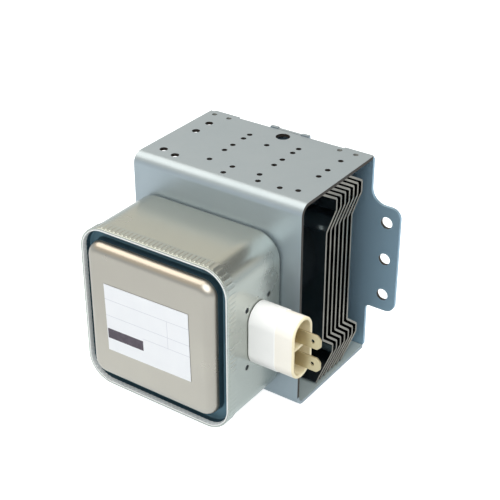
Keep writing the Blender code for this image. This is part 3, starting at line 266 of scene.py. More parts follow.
# %% Helpers that shape a mesh
def drill(bm, centre, direction, radius, depth, steps=32):
    """A round tool through the centre, along the direction."""
    turn = Vector((0.0, 0.0, 1.0)).rotation_difference(Vector(direction)).to_matrix().to_4x4()
    bmesh.ops.create_cone(
        bm, cap_ends=True, segments=steps, radius1=radius, radius2=radius, depth=depth,
        matrix=Matrix.Translation(centre) @ turn,
    )


def ball(bm, centre, radius):
    place = Matrix.Translation(centre)
    bmesh.ops.create_uvsphere(bm, u_segments=24, v_segments=16, radius=radius, matrix=place)


def block(bm, centre, size):
    place = Matrix.Translation(centre) @ Matrix.Diagonal((*size, 1.0))
    bmesh.ops.create_cube(bm, size=1.0, matrix=place)


def round_off(bm, geom, offset, segments, affect="VERTICES"):
    """Bevel points or edges into arcs."""
    bmesh.ops.bevel(
        bm, geom=geom, offset=offset, offset_type="OFFSET", affect=affect, segments=segments,
        profile=0.5, material=-1, clamp_overlap=False,
    )


def slice_faces(bm, point, normal, tolerance):
    """Cut each face that a plane crosses in two."""
    geom = list(bm.faces) + list(bm.edges) + list(bm.verts)
    bmesh.ops.bisect_plane(bm, geom=geom, dist=tolerance, plane_co=point, plane_no=normal)


def face_towards(bm, direction):
    """Flip the faces that look the other way."""
    for face in bm.faces:
        if face.normal.dot(Vector(direction)) < 0:
            face.normal_flip()


def face_outwards(bm):
    bmesh.ops.recalc_face_normals(bm, faces=list(bm.faces))


def move_new(bm, grown, step):
    """Move the points that an extrusion has made."""
    moved = [item for item in grown["geom"] if isinstance(item, bmesh.types.BMVert)]
    bmesh.ops.translate(bm, verts=moved, vec=step)


def thicken(bm, step):
    """Extrude every face by a step, which leaves a closed sheet."""
    move_new(bm, bmesh.ops.extrude_face_region(bm, geom=list(bm.faces), use_keep_orig=True), step)
    face_outwards(bm)
    return bm


print("mesh helpers ready")

# %% [markdown]
# ## From a bmesh to a finished piece
#
# Each piece starts as a bmesh and ends as an object that rides on the root body and stands for one
# CAD node. Modifiers then give the sheet its thickness, punch holes and break the sharp edges. They
# are applied at once, and the weighted normals keep large flat faces flat beside their small bevels.

# %% Helpers that make a piece
def make_object(bm, name, *finishes):
    mesh = bpy.data.meshes.new(name)
    bm.to_mesh(mesh)
    bm.free()
    for finish in finishes:
        mesh.materials.append(finish)
    piece = bpy.data.objects.new(name, mesh)
    bpy.context.scene.collection.objects.link(piece)
    return piece


def give_thickness(piece, thickness, offset=-1.0):
    sheet = piece.modifiers.new("Sheet", "SOLIDIFY")
    sheet.thickness = thickness
    sheet.offset = offset
    sheet.use_even_offset = True


def combine(piece, tool_bm, operation, *finishes):
    """Cut a tool out of the piece, or join it to the piece."""
    boolean = piece.modifiers.new(operation, "BOOLEAN")
    boolean.operation = operation
    boolean.object = make_object(tool_bm, "tool", *finishes)
    boolean.solver = "EXACT"


def break_edges(piece, width, segments=2, angle=35.0):
    bevel = piece.modifiers.new("Edges", "BEVEL")
    bevel.width = width
    bevel.segments = segments
    bevel.limit_method = "ANGLE"
    bevel.angle_limit = math.radians(angle)
    bevel.use_clamp_overlap = True


def apply_all(piece, sharp_angle=50.0):
    """Apply the modifiers, then shade softly except across edges that are still sharp."""
    weighted = piece.modifiers.new("Flat faces", "WEIGHTED_NORMAL")
    weighted.keep_sharp = True
    for face in piece.data.polygons:
        face.use_smooth = True
    piece.data.set_sharp_from_angle(angle=math.radians(sharp_angle))
    graph = bpy.context.evaluated_depsgraph_get()
    mesh = bpy.data.meshes.new_from_object(
        piece.evaluated_get(graph), preserve_all_data_layers=True, depsgraph=graph
    )
    tools = [change.object for change in piece.modifiers if change.type == "BOOLEAN"]
    piece.modifiers.clear()
    piece.data = mesh
    mesh.name = piece.name
    for tool in tools:
        bpy.data.objects.remove(tool)


def repaint(piece, finish, chosen):
    """Give the faces that the test picks another finish."""
    piece.data.materials.append(finish)
    index = len(piece.data.materials) - 1
    for face in piece.data.polygons:
        if chosen(face.center, face.normal):
            face.material_index = index
    painted = sum(face.material_index == index for face in piece.data.polygons)
    print(f"{piece.name}: {painted} faces in {finish.name}")


def hand_over(piece, node):
    """The piece takes the place of its CAD node and rides on the root body."""
    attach(piece, "root")
    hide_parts(node)
    low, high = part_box(node)
    corners = [piece.matrix_world @ vertex.co for vertex in piece.data.vertices]
    reach = []
    for axis in range(3):
        values = [corner[axis] for corner in corners]
        gaps = (min(values) - low[axis], max(values) - high[axis])
        reach.append(tuple(round(gap / MM, 2) for gap in gaps))
    print(f"{piece.name}: {len(piece.data.polygons)} faces, box against {node}: {reach}")


print("piece helpers ready")

# %% [markdown]
# ## The yoke
#
# The yoke is one steel strip folded into a U. It carries the magnets' field round the outside of the
# tube. A press brake folds the strip, so the model starts as three flat panels, and the two fold
# lines are then bevelled into round bends. The sheet gets its thickness inwards.
#
# The many small holes in the two panels were punched before the folding. They are cut with round tools, and
# the four dents at the back are where the plate's tongues were staked over. The side edges from 12 mm up and
# the walls of the holes are painted near-black, partly for the raw cut steel and mostly as painted shade, and
# the dents are painted shade too. The upper side of the lower panel is painted paler and duller, as painted
# light.

# %% Fold the yoke's sheet
YOKE_HALF = 40.0 * MM
YOKE_TOP = 92.0 * MM
YOKE_FRONT = -27.0 * MM
YOKE_BACK = 25.35 * MM
YOKE_SHEET = 1.4 * MM
YOKE_BEND = 4.6 * MM
AXIS_Z = 46.0 * MM


def folded(points, half_width, bend_radius, bend_segments):
    """Sheet through (y, z) points, as wide as given along X, with its folds bevelled into bends."""
    bm = bmesh.new()
    corners = [bm.verts.new((half_width, y, z)) for y, z in points]
    lines = [bm.edges.new(pair) for pair in zip(corners, corners[1:])]
    move_new(bm, bmesh.ops.extrude_edge_only(bm, edges=lines), (-2 * half_width, 0.0, 0.0))
    bm.normal_update()
    for fold in [edge for edge in bm.edges if len(edge.link_faces) == 2]:
        offset = bend_radius * math.tan(fold.calc_face_angle() / 2)
        round_off(bm, [fold], offset, bend_segments, "EDGES")
    return bm


yoke_path = [(YOKE_BACK, YOKE_TOP), (YOKE_FRONT, YOKE_TOP), (YOKE_FRONT, 0.0), (YOKE_BACK, 0.0)]
yoke = make_object(folded(yoke_path, YOKE_HALF, YOKE_BEND, 12), "yoke", zinc_plated_steel)
give_thickness(yoke, YOKE_SHEET)
print("yoke bends:", len(yoke.data.polygons) - 3, "strips in two bends")

# %% Punch the yoke's holes
SMALL, MEDIUM, LARGE, TUBE_HOLE = 1.15 * MM, 1.7 * MM, 3.0 * MM, 10.6 * MM
DENT_RADIUS, DENT_ABOVE, DENT_REACH = 1.6 * MM, 1.1 * MM, 1.15 * MM
EDGE_SHADE_FROM = 12 * MM
small_holes = [(-0.6, 9.8), (-0.6, -14.1), (-0.6, -20.2), (14.6, -18.6), (24.6, -18.6)]
small_holes += [(31.6, y) for y in (-16.6, -2.1, 4.5, 14.3)]
small_holes += [(side * 12.0, y) for side in (-1, 1) for y in (14.1, 9.7, 2.2, -3.6, -13.7)]
medium_holes = [(-32.5, 13.8), (-32.5, 4.6), (-32.5, -16.9), (-25.4, -18.7)]
large_holes = [(0.3, 20.3)]
stakes = [(x * MM, 22.6 * MM) for x in (-36.1, -28.6, 26.1, 33.6)]

punches = bmesh.new()
for panel_z, outward in ((YOKE_TOP - YOKE_SHEET / 2, 1), (YOKE_SHEET / 2, -1)):
    for places, radius in ((small_holes, SMALL), (medium_holes, MEDIUM), (large_holes, LARGE)):
        for x, y in places:
            drill(punches, (x * MM, y * MM, panel_z), (0, 0, 1), radius, 2 * YOKE_SHEET, 24)
    for x, y in stakes:
        ball(punches, (x, y, panel_z + outward * (YOKE_SHEET / 2 + DENT_ABOVE)), DENT_RADIUS)
drill(punches, (0.0, YOKE_FRONT + YOKE_SHEET / 2, AXIS_Z), (0, 1, 0), TUBE_HOLE, 2 * YOKE_SHEET, 64)
combine(yoke, punches, "DIFFERENCE")
break_edges(yoke, 0.22 * MM)
apply_all(yoke)


def sheared_and_shaded(centre, normal):
    """Side edges of the yoke down to where the painted shade ends, and the walls of its holes."""
    side_edge = abs(centre.x) > YOKE_HALF - 0.1 * MM and centre.z > EDGE_SHADE_FROM
    in_panels = abs(centre.z - AXIS_Z) > AXIS_Z - YOKE_SHEET
    off_ends = YOKE_FRONT + 5 * MM < centre.y < YOKE_BACK - 0.5 * MM
    off_sides = abs(centre.x) < YOKE_HALF - 1 * MM
    hole_wall = in_panels and off_ends and off_sides and abs(normal.z) < 0.3
    return side_edge and abs(normal.x) > 0.8 or hole_wall


def dented(centre, normal):
    near_stake = min(math.hypot(centre.x - x, centre.y - y) for x, y in stakes) < DENT_REACH
    below_face = abs(centre.z - AXIS_Z) < AXIS_Z - 0.03 * MM
    return near_stake and below_face and abs(normal.z) > 0.3


def inner_floor(centre, normal):
    return normal.z > 0.7 and centre.z < YOKE_SHEET + 0.1 * MM


# Painted shade on the upper side edges, the hole walls and the dents; painted light on the lower panel's
# upper side.
repaint(yoke, raw_edge_painted_shade, sheared_and_shaded)
repaint(yoke, dent_painted_shade, dented)
repaint(yoke, lower_panel_painted_light, inner_floor)
hand_over(yoke, "yoke_frame")

# %% [markdown]
# ## The mounting plate
#
# A flat plate closes the yoke at the back. Its two ears bolt to the oven's waveguide. It is a blanked part,
# so its outline is drawn first: the corners are a few points, and bevelling the points rounds each corner by
# its own radius. The face is then extruded to the sheet's thickness. The plate has the yoke's zinc, painted
# bluer and darker as a painted reflection of the bluish floor that its front mirrors. A cut along its top
# lets the strip beside the yoke's upper panel take that panel's plain finish.

# %% Blank the plate's outline
PLATE_FRONT = 25.6 * MM
PLATE_SHEET = 1.4 * MM
TOP_STRIP = 91.0 * MM

right_side = [
    (5.5, 92.0, 0.3), (6.0, 92.5, 0.3), (9.5, 92.5, 0.3), (9.5, 91.0, 0.4),
    (26.0, 91.0, 0.3), (26.0, 91.6, 0.2), (40.0, 91.6, 1.8), (40.0, 71.2, 6.5),
    (53.7, 71.2, 4.4), (53.7, 22.3, 4.4), (40.0, 22.3, 2.2), (40.0, 0.3, 1.8),
]
outline = right_side + [(-x, z, radius) for x, z, radius in reversed(right_side)]


def blank(corners, thickness, y):
    """A flat piece across Y from (x, z, radius) corners in millimetres, with its front face at y."""
    bm = bmesh.new()
    points = [bm.verts.new((x * MM, y, z * MM)) for x, z, _ in corners]
    bm.faces.new(points)
    bm.normal_update()
    face_towards(bm, (0, -1, 0))
    for radius in sorted({radius for _, _, radius in corners if radius}, reverse=True):
        rounded = [point for point, corner in zip(points, corners) if corner[2] == radius]
        for point in rounded:
            ends = [edge.other_vert(point).co - point.co for edge in point.link_edges]
            half = ends[0].angle(ends[1]) / 2
            round_off(bm, [point], radius * MM / math.tan(half), 8)
    return thicken(bm, (0.0, thickness, 0.0))


plate_bm = blank(outline, PLATE_SHEET, PLATE_FRONT)
slice_faces(plate_bm, (0.0, 0.0, TOP_STRIP), (0.0, 0.0, 1.0), 0.001 * MM)
plate = make_object(plate_bm, "plate", plate_steel)
print("plate outline points:", len(plate.data.vertices) // 2)

# %% Punch the plate
BOLT_RADIUS = 2.6 * MM
punches = bmesh.new()
plate_middle = PLATE_FRONT + PLATE_SHEET / 2
bolt_holes = [(side * 47.7 * MM, height * MM) for side in (-1, 1) for height in (29.8, 46.9, 64.0)]
drill(punches, (0.0, plate_middle, AXIS_Z), (0, 1, 0), TUBE_HOLE, 2 * PLATE_SHEET, 64)
for x, z in bolt_holes:
    drill(punches, (x, plate_middle, z), (0, 1, 0), BOLT_RADIUS, 2 * PLATE_SHEET, 40)
combine(plate, punches, "DIFFERENCE")
break_edges(plate, 0.12 * MM)
apply_all(plate)


def punched(centre, normal):
    """The walls of the bolt holes."""
    from_hole = min(math.hypot(centre.x - x, centre.z - z) for x, z in bolt_holes)
    return from_hole < BOLT_RADIUS + 0.2 * MM and abs(normal.y) < 0.3


# The bolt holes' walls take the painted shade; the top strip keeps the plain zinc.
repaint(plate, raw_edge_painted_shade, punched)
repaint(plate, zinc_plated_steel, lambda centre, normal: centre.z > TOP_STRIP)
hand_over(plate, "mounting_plate")

# %% [markdown]
# ## The cooling fins
#
# Seven thin aluminium fins are pressed onto the anode. Each is folded: flat round the anode, stepped
# back above and below it, and slanting forward again until it meets the yoke. A short collar drawn
# up round the hole holds the fin on the anode and takes the heat from it.
#
# The fins are alike, so one function makes all seven. Their faces are painted dark and teal, as painted shade
# and a painted reflection of the yoke's inside, and their side edges take a lighter copy as painted light.

# %% Fold, bore and copy the fins
FIN_SHEET, FIN_HALF, FIN_BEND = 0.95 * MM, 38.8 * MM, 1.2 * MM
COLLAR_RADIUS, COLLAR_HEIGHT, FIN_BORE = 20.95 * MM, 1.5 * MM, 20.25 * MM
FIRST_FIN, FIN_PITCH = -6.5, 3.2
fin_upper = [(0.0, 25.2), (6.9, 32.2), (6.9, 37.3), (-4.2, 43.865)]
fin_lower = [(0.0, -24.8), (8.2, -31.5), (8.2, -35.5), (-4.2, -43.865)]
fin_points = fin_lower[::-1] + fin_upper


def make_fin(number, y):
    path = [(y + step * MM, AXIS_Z + height * MM) for step, height in fin_points]
    fin = make_object(folded(path, FIN_HALF, FIN_BEND, 5), f"cooling_fin_{number}", fin_aluminium)
    give_thickness(fin, FIN_SHEET, 0.0)
    collar = bmesh.new()
    drill(collar, (0.0, y - COLLAR_HEIGHT / 2, AXIS_Z), (0, 1, 0), COLLAR_RADIUS, COLLAR_HEIGHT, 96)
    combine(fin, collar, "UNION")
    bore = bmesh.new()
    drill(bore, (0.0, y, AXIS_Z), (0, 1, 0), FIN_BORE, 6 * MM, 96)
    combine(fin, bore, "DIFFERENCE")
    break_edges(fin, 0.12 * MM)
    apply_all(fin)
    # The outward side edges take the painted light.
    at_side = FIN_HALF - 0.5 * MM
    repaint(fin, fin_rim_painted_light, lambda centre, normal: abs(normal.x) > 0.3 and abs(centre.x) > at_side)
    hand_over(fin, f"fin_{number}")


for number in range(1, 8):
    make_fin(number, (FIRST_FIN + FIN_PITCH * (number - 1)) * MM)

# %% [markdown]
# ## Turned pieces: the magnets and the anode
#
# Everything on the tube's axis is round, so it is turned: half of its section is drawn as a line and
# spun once round the axis. The line may close on itself, as for a ring, or start and end on the axis,
# as for a cap. The sharp corners of the section are bevelled by the same modifier as the sheets.

# %% Turn the round pieces
def turned(section, steps=72):
    """Spin a section of (radius, y) points in millimetres once round the tube's axis."""
    bm = bmesh.new()
    points = [bm.verts.new((radius * MM, y * MM, AXIS_Z)) for radius, y in section]
    lines = [bm.edges.new(pair) for pair in zip(points, points[1:])]
    if section[0][0] > 0:
        lines.append(bm.edges.new((points[-1], points[0])))
    bmesh.ops.spin(
        bm, geom=lines + points, cent=(0.0, 0.0, AXIS_Z), axis=(0.0, 1.0, 0.0), dvec=(0.0, 0.0, 0.0),
        angle=math.tau, steps=steps, use_merge=True, use_duplicate=False,
    )
    bmesh.ops.remove_doubles(bm, verts=list(bm.verts), dist=0.001 * MM)
    face_outwards(bm)
    return bm


def turn_piece(name, node, section, finish, edge=0.15, steps=72):
    piece = make_object(turned(section, steps), name, finish)
    break_edges(piece, edge * MM)
    apply_all(piece)
    hand_over(piece, node)
    return piece


magnets = (("input_magnet", "magnet_input", -25.35), ("output_magnet", "magnet_output", 13.75))
for name, node, start in magnets:
    section = [
        (10.6, start + 11.6), (23.7, start + 11.6), (24.5, start + 10.8),
        (24.5, start + 0.8), (23.7, start), (10.6, start),
    ]
    turn_piece(name, node, section, ferrite, 0.3, 96)

anode_section = [
    (18.8, 13.5), (20.0, 13.5), (20.0, -13.5), (18.8, -13.5),
    (18.8, -11.85), (17.5, -11.85), (17.5, 11.85), (18.8, 11.85),
]
turn_piece("anode", "anode_cylinder", anode_section, copper, 0.2, 96)

# %% [markdown]
# ## The antenna's end
#
# Behind the plate the tube ends in a ceramic ring, a metal cap and the woven gasket that closes the
# gap to the waveguide. The cap is drawn from sheet, so its edge is a real radius.

# %% Turn the antenna's end
sleeve_section = [(9.5, 29.5), (10.0, 29.5), (10.0, 12.14), (9.5, 12.14)]
turn_piece("output_sleeve", "output_cylinder", sleeve_section, stainless, 0.1)
insulator_section = [(7.4, 37.5), (9.6, 37.5), (9.6, 29.75), (7.4, 29.75)]
turn_piece("output_insulator", "output_ceramic", insulator_section, alumina, 0.3)
exhaust_section = [
    (0.0, 44.05), (2.2, 44.05), (2.6, 43.65), (2.6, 38.55), (9.6, 38.55),
    (9.6, 37.75), (1.8, 37.75), (1.8, 43.25), (0.0, 43.25),
]
turn_piece("exhaust", "exhaust_tube", exhaust_section, copper, 0.2)


def quarter(centre_radius, centre_y, radius, start, end, steps=8):
    """Points of an arc in the section's plane. The angle goes from outwards to backwards."""
    angles = [math.radians(start + (end - start) * step / steps) for step in range(steps + 1)]
    return [(centre_radius + radius * math.cos(a), centre_y + radius * math.sin(a)) for a in angles]


cap_section = [(0.0, 47.05)]
cap_section += quarter(6.8, 45.65, 1.4, 90, 0)
cap_section += [(8.2, 38.8), (7.7, 38.8)]
cap_section += quarter(6.8, 45.65, 0.9, 0, 90)
cap_section += [(0.0, 46.55)]
turn_piece("antenna_dome", "antenna_cap", cap_section, stainless, 0.12, 96)

base = 27.25
retainer_section = [(10.6, base + 3.2), (11.2, base + 3.2), (11.2, base + 0.6)]
retainer_section += [(18.4, base + 0.6), (18.4, base + 1.5), (19.0, base + 1.5), (19.0, base), (10.6, base)]
turn_piece("gasket_tray", "gasket_retainer", retainer_section, stainless, 0.2, 96)

# %% [markdown]
# ## The filter box
#
# The box is drawn from thin sheet in a press: a flat disc of steel is pushed through a die until it
# becomes a pan with round corners. Its rim is pressed round the lid, and a tool like a cog leaves a
# row of fine ribs all the way round, so that no gap lets the microwaves out.
#
# It is drawn here in the same way. A face with the rim's outline moves back in steps and leaves a
# wall behind it, and steps along a quarter circle make the round back edge. Each second strip of the
# rim band is then inset and raised into a rib.

# %% Measures of the box
BOX_X, BOX_Z = -3.0 * MM, 41.9 * MM
BOX_HALF_X, BOX_HALF_Z = 34.75 * MM, 35.55 * MM
BOX_CORNER = 10.7 * MM
BOX_BACK = -27.25 * MM
RIM = -63.0 * MM
BOX_SHEET = 0.5 * MM
STRIPS_X, STRIPS_Z, STRIPS_CORNER = 48, 50, 17


def rounded_face(inset, y):
    """A face with the box's outline moved inwards, its edge cut into short strips."""
    bm = bmesh.new()
    half_x, half_z = BOX_HALF_X - inset, BOX_HALF_Z - inset
    corners = [(half_x, -half_z), (half_x, half_z), (-half_x, half_z), (-half_x, -half_z)]
    points = [bm.verts.new((BOX_X + x, y, BOX_Z + z)) for x, z in corners]
    bm.faces.new(points)
    round_off(bm, points, BOX_CORNER - inset, STRIPS_CORNER)
    for edge in [edge for edge in bm.edges if edge.calc_length() > 20 * MM]:
        along_x = abs(edge.verts[0].co.x - edge.verts[1].co.x) > 1 * MM
        cuts = (STRIPS_X if along_x else STRIPS_Z) - 1
        bmesh.ops.subdivide_edges(bm, edges=[edge], cuts=cuts)
    bm.normal_update()
    return bm


def step_along(bm, inwards, distance, axis=1):
    """Inset the one open face and move it along an axis. Returns the ring that this leaves."""
    front = max(bm.faces, key=lambda face: len(face.verts))
    if abs(inwards) > 0.0001 * MM:
        depth = distance * front.normal[axis]
        ring = bmesh.ops.inset_individual(
            bm, faces=[front], thickness=inwards, depth=depth, use_even_offset=True
        )["faces"]
        front = max(bm.faces, key=lambda face: len(face.verts))
        return [face for face in ring if face is not front]
    grown = bmesh.ops.extrude_discrete_faces(bm, faces=[front])["faces"][0]
    step = Vector((0.0, 0.0, 0.0))
    step[axis] = distance
    bmesh.ops.translate(bm, verts=list(grown.verts), vec=step)
    return [face for edge in grown.edges for face in edge.link_faces if face is not grown]


print("ribs round the rim:", STRIPS_X + STRIPS_Z + 2 * STRIPS_CORNER)

# %% Draw the box
BAND_PROUD, BAND_WIDTH, BAND_SLOPE = 0.30 * MM, 4.2 * MM, 1.3 * MM
RIM_LIP, LIP_DEPTH = 0.10 * MM, 1.0 * MM
BACK_RADIUS = 2.0 * MM


def outline_order(face):
    """Where a face of a ring lies on the way round the box."""
    centre = face.calc_center_median()
    return math.atan2(centre.z - BOX_Z, centre.x - BOX_X)


def raise_ribs(bm, ring, margin, height):
    """Inset each second strip of a band and raise it, which leaves a row of fine ribs."""
    strips = sorted(ring, key=outline_order)
    bmesh.ops.inset_individual(bm, faces=strips[::2], thickness=margin, depth=height, use_even_offset=True)


def round_over(bm, radius, way, steps=6, from_wall=True, axis=1):
    """Quarter bend in small steps. It goes along the axis, or against it where way is -1."""
    for step in range(steps):
        start = math.pi / 2 * step / steps
        end = math.pi / 2 * (step + 1) / steps
        gentle = radius * (math.cos(start) - math.cos(end))
        steep = radius * (math.sin(end) - math.sin(start))
        inset, rise = (gentle, steep) if from_wall else (steep, gentle)
        step_along(bm, inset, way * rise, axis)


case_bm = rounded_face(-BAND_PROUD, RIM)
face_towards(case_bm, (0, 1, 0))
step_along(case_bm, -RIM_LIP, 0.35 * LIP_DEPTH)
step_along(case_bm, 0.0, 0.35 * LIP_DEPTH)
step_along(case_bm, RIM_LIP, 0.3 * LIP_DEPTH)
band = step_along(case_bm, 0.0, BAND_WIDTH)
step_along(case_bm, BAND_PROUD, BAND_SLOPE)
wall_start = RIM + LIP_DEPTH + BAND_WIDTH + BAND_SLOPE
step_along(case_bm, 0.0, BOX_BACK - BACK_RADIUS - wall_start)
round_over(case_bm, BACK_RADIUS, 1)
raise_ribs(case_bm, band, 0.36 * MM, 0.12 * MM)
case = make_object(case_bm, "box", box_steel)
give_thickness(case, BOX_SHEET)
print("box faces before thickness:", len(case.data.polygons))

# %% [markdown]
# The box has a large hole at the back for the tube's stem, and on its right wall an oval one for the
# capacitor. Four small holes beside the oval show where the capacitor's flange is staked from inside,
# and two round dimples keep the capacitor from turning.
#
# The sides of the ribs rise by only 18 degrees, so edges stay sharp here from 17 degrees on.

# %% Pierce the box
PLUG_Y, PLUG_Z = -43.225 * MM, 43.3 * MM
BOX_RIGHT = 31.75 * MM
STAKE_Y, STAKE_Z, STAKE_RADIUS = 7.2 * MM, 12.9 * MM, 1.15 * MM
DIMPLE_RADIUS, DIMPLE_SUNK = 1.15 * MM, 0.75 * MM
RIB_ANGLE = 17.0


def oval(half_y, half_z, x, segments=14):
    """An upright oval face across X, centred on the plug."""
    bm = bmesh.new()
    corners = [(half_y, -half_z), (half_y, half_z), (-half_y, half_z), (-half_y, -half_z)]
    points = [bm.verts.new((x, PLUG_Y + y, PLUG_Z + z)) for y, z in corners]
    bm.faces.new(points)
    round_off(bm, points, half_y, segments)
    bmesh.ops.remove_doubles(bm, verts=list(bm.verts), dist=0.02 * MM)
    bm.normal_update()
    face_towards(bm, (1, 0, 0))
    return bm


dimples = bmesh.new()
for z in (58.1, 28.6):
    ball(dimples, (BOX_RIGHT - DIMPLE_SUNK, PLUG_Y - 0.2 * MM, z * MM), DIMPLE_RADIUS)
combine(case, dimples, "UNION")
holes = thicken(oval(5.3 * MM, 11.7 * MM, BOX_RIGHT - 3 * MM), (6 * MM, 0.0, 0.0))
drill(holes, (0.0, BOX_BACK, AXIS_Z), (0, 1, 0), TUBE_HOLE, 4 * MM, 64)
for side_y in (-1, 1):
    for side_z in (-1, 1):
        centre = (BOX_RIGHT, PLUG_Y + side_y * STAKE_Y, PLUG_Z + side_z * STAKE_Z)
        drill(holes, centre, (1, 0, 0), STAKE_RADIUS, 3 * MM, 24)
combine(case, holes, "DIFFERENCE")
apply_all(case, RIB_ANGLE)
hand_over(case, "filter_case")

# %% [markdown]
# ## The lid
#
# The lid is a shallow pan pushed into the box's front. Its wall lies inside the rim band and is
# pressed into the same ribs. A deep groove runs round a raised panel, which makes the lid stiff, and
# the panel's edge is a full soft radius that catches the light. The panel sits a little high, so its
# sides are shifted on their own.
#
# Three finishes follow the depth: a pale copy on the lip, painted light from above, a dark one down in the
# groove, painted shade where little light falls, and clean sheet on the panel.

# %% Draw the lid
LID_INSET, LID_SHEET = 0.75 * MM, 0.5 * MM
PANEL_RISE, GROOVE_DEPTH, EDGE_RADIUS = 3.75 * MM, 3.8 * MM, 4.4 * MM
FLOOR_RADIUS, FLOOR_WIDTH = 0.7 * MM, 1.85 * MM
SIDES_IN, ENDS_IN, PANEL_UP = 0.15 * MM, 1.05 * MM, 0.6 * MM
LID_LIP_WIDTH, LID_LIP_DEPTH, GROOVE_SHADE_FROM = 1.6 * MM, 1.95 * MM, 0.6 * MM


def shift_sides(bm, left_right, top_bottom, up):
    """Move the open face's sides and its top and bottom inwards, and the whole face up."""
    front = max(bm.faces, key=lambda face: len(face.verts))
    for point in front.verts:
        across = (point.co.x - BOX_X) / (BOX_HALF_X - BOX_CORNER)
        upwards = (point.co.z - BOX_Z) / (BOX_HALF_Z - BOX_CORNER)
        point.co.x -= left_right * max(-1.0, min(1.0, across))
        point.co.z -= top_bottom * max(-1.0, min(1.0, upwards)) - up


lid_bm = rounded_face(LID_INSET, RIM)
face_towards(lid_bm, (0, -1, 0))
step_along(lid_bm, 0.0, 0.4 * MM)
ribbed = step_along(lid_bm, 0.1 * MM, 1.5 * MM)
step_along(lid_bm, 0.25 * MM, 1.2 * MM)
round_over(lid_bm, FLOOR_RADIUS, 1, 4)
step_along(lid_bm, FLOOR_WIDTH, 0.0)
shift_sides(lid_bm, SIDES_IN, ENDS_IN, PANEL_UP)
round_over(lid_bm, FLOOR_RADIUS, -1, 4, from_wall=False)
step_along(lid_bm, 0.0, EDGE_RADIUS - PANEL_RISE - GROOVE_DEPTH + FLOOR_RADIUS)
round_over(lid_bm, EDGE_RADIUS, -1, 14)
raise_ribs(lid_bm, ribbed, 0.25 * MM, 0.15 * MM)


def depth_inside(centre):
    """How far a point lies inside the box's outline, round corners too."""
    across = max(abs(centre.x - BOX_X) - (BOX_HALF_X - BOX_CORNER), 0.0)
    upwards = max(abs(centre.z - BOX_Z) - (BOX_HALF_Z - BOX_CORNER), 0.0)
    return BOX_CORNER - math.hypot(across, upwards)


# The lip takes the painted light and the groove the painted shade.
for face in lid_bm.faces:
    centre = face.calc_center_median()
    if depth_inside(centre) < LID_LIP_WIDTH and centre.y < RIM + LID_LIP_DEPTH:
        face.material_index = 1
    elif centre.y > RIM + GROOVE_SHADE_FROM:
        face.material_index = 2
lid = make_object(lid_bm, "lid", lid_steel, lid_lip_painted_light, groove_painted_shade)
give_thickness(lid, LID_SHEET)
break_edges(lid, 0.07 * MM, 2, 30.0)
apply_all(lid, 60.0)
hand_over(lid, "filter_cover")

# %% [markdown]
# ## The label
#
# A paper label sits a little askew on the lid. It is left without words: only its ruled lines and a
# plain dark bar are printed. The sheet's face is cut along the lines with a plane, so that each
# printed strip is a face of its own and takes its own ink.

# %% Cut and print the label
LABEL_CENTRE = Vector((-3.35 * MM, -66.80 * MM, 42.15 * MM))
LABEL_HALF_U, LABEL_HALF_V = 20.35 * MM, 15.1 * MM
LABEL_TILT = math.radians(1.3)
PAPER = 0.15 * MM
RULE, BAR = 1, 2
printed = [
    (-20.35, 20.35, 8.3, 8.52, RULE), (-20.35, 20.35, 1.0, 1.22, RULE),
    (-2.3, 20.35, -3.9, -3.68, RULE), (9.9, 10.12, -3.9, 8.3, RULE), (-20.0, -2.3, -9.4, -4.9, BAR),
]

label_bm = bmesh.new()
bmesh.ops.create_grid(
    label_bm, x_segments=1, y_segments=1, size=1.0,
    matrix=Matrix.Diagonal((LABEL_HALF_U, LABEL_HALF_V, 1.0, 1.0)),
)
for left, right, low, high, _ in printed:
    for x in (left, right):
        slice_faces(label_bm, (x * MM, 0.0, 0.0), (1.0, 0.0, 0.0), 0.0001 * MM)
    for y in (low, high):
        slice_faces(label_bm, (0.0, y * MM, 0.0), (0.0, 1.0, 0.0), 0.0001 * MM)
for face in label_bm.faces:
    centre = face.calc_center_median() / MM
    for left, right, low, high, ink in printed:
        if left < centre.x < right and low < centre.y < high:
            face.material_index = ink
tilt = Matrix.Rotation(-LABEL_TILT, 4, "Y")
upright = Matrix.Rotation(math.radians(90), 4, "X")
on_lid = Matrix.Translation(LABEL_CENTRE) @ tilt @ upright
bmesh.ops.transform(label_bm, matrix=on_lid, verts=list(label_bm.verts))
bmesh.ops.translate(label_bm, verts=list(label_bm.verts), vec=(0.0, -PAPER, 0.0))
label_bm.normal_update()
print("label faces:", len(label_bm.faces))
label = make_object(label_bm, "paper_label", label_paper, ruling_ink, dark_ink)
give_thickness(label, PAPER)
label.modifiers["Sheet"].material_offset_rim = 0
apply_all(label)
hand_over(label, "label")

# %% [markdown]
# ## The capacitor's shell
#
# The mains wires plug in here. The shell is moulded plastic: an oval tube with a step where the mould halves
# meet, a rounded mouth, and a web that keeps the two terminals apart. It starts as an oval face that is
# pushed outwards in steps, turned in at the mouth and pushed back inside, and at the end the first and the
# last loop are bridged. The plastic is cream beyond the step. Inside, at the mouth and on the web it is
# painted yellower, a painted reflection of the yellow resin.

# %% Mould the shell
SHELL_HALF_Y, SHELL_HALF_Z = 6.9 * MM, 13.3 * MM
SHELL_BACK, SHELL_LENGTH = 32.0 * MM, 20.0 * MM
STEP_AT, STEP = 11.6 * MM, 0.2 * MM
MOUTH_OUTER, MOUTH_LIP, MOUTH_INNER = 0.6 * MM, 0.35 * MM, 0.45 * MM
CREAM_FROM, INSIDE_FROM = 43.7 * MM, 51.5 * MM
WEB_X, WEB_SIZE = 46.9 * MM, (7.4 * MM, 11.2 * MM, 1.3 * MM)


def push(bm, inwards, along):
    """A step of the shell's or the resin's open end along X."""
    step_along(bm, inwards, along, axis=0)


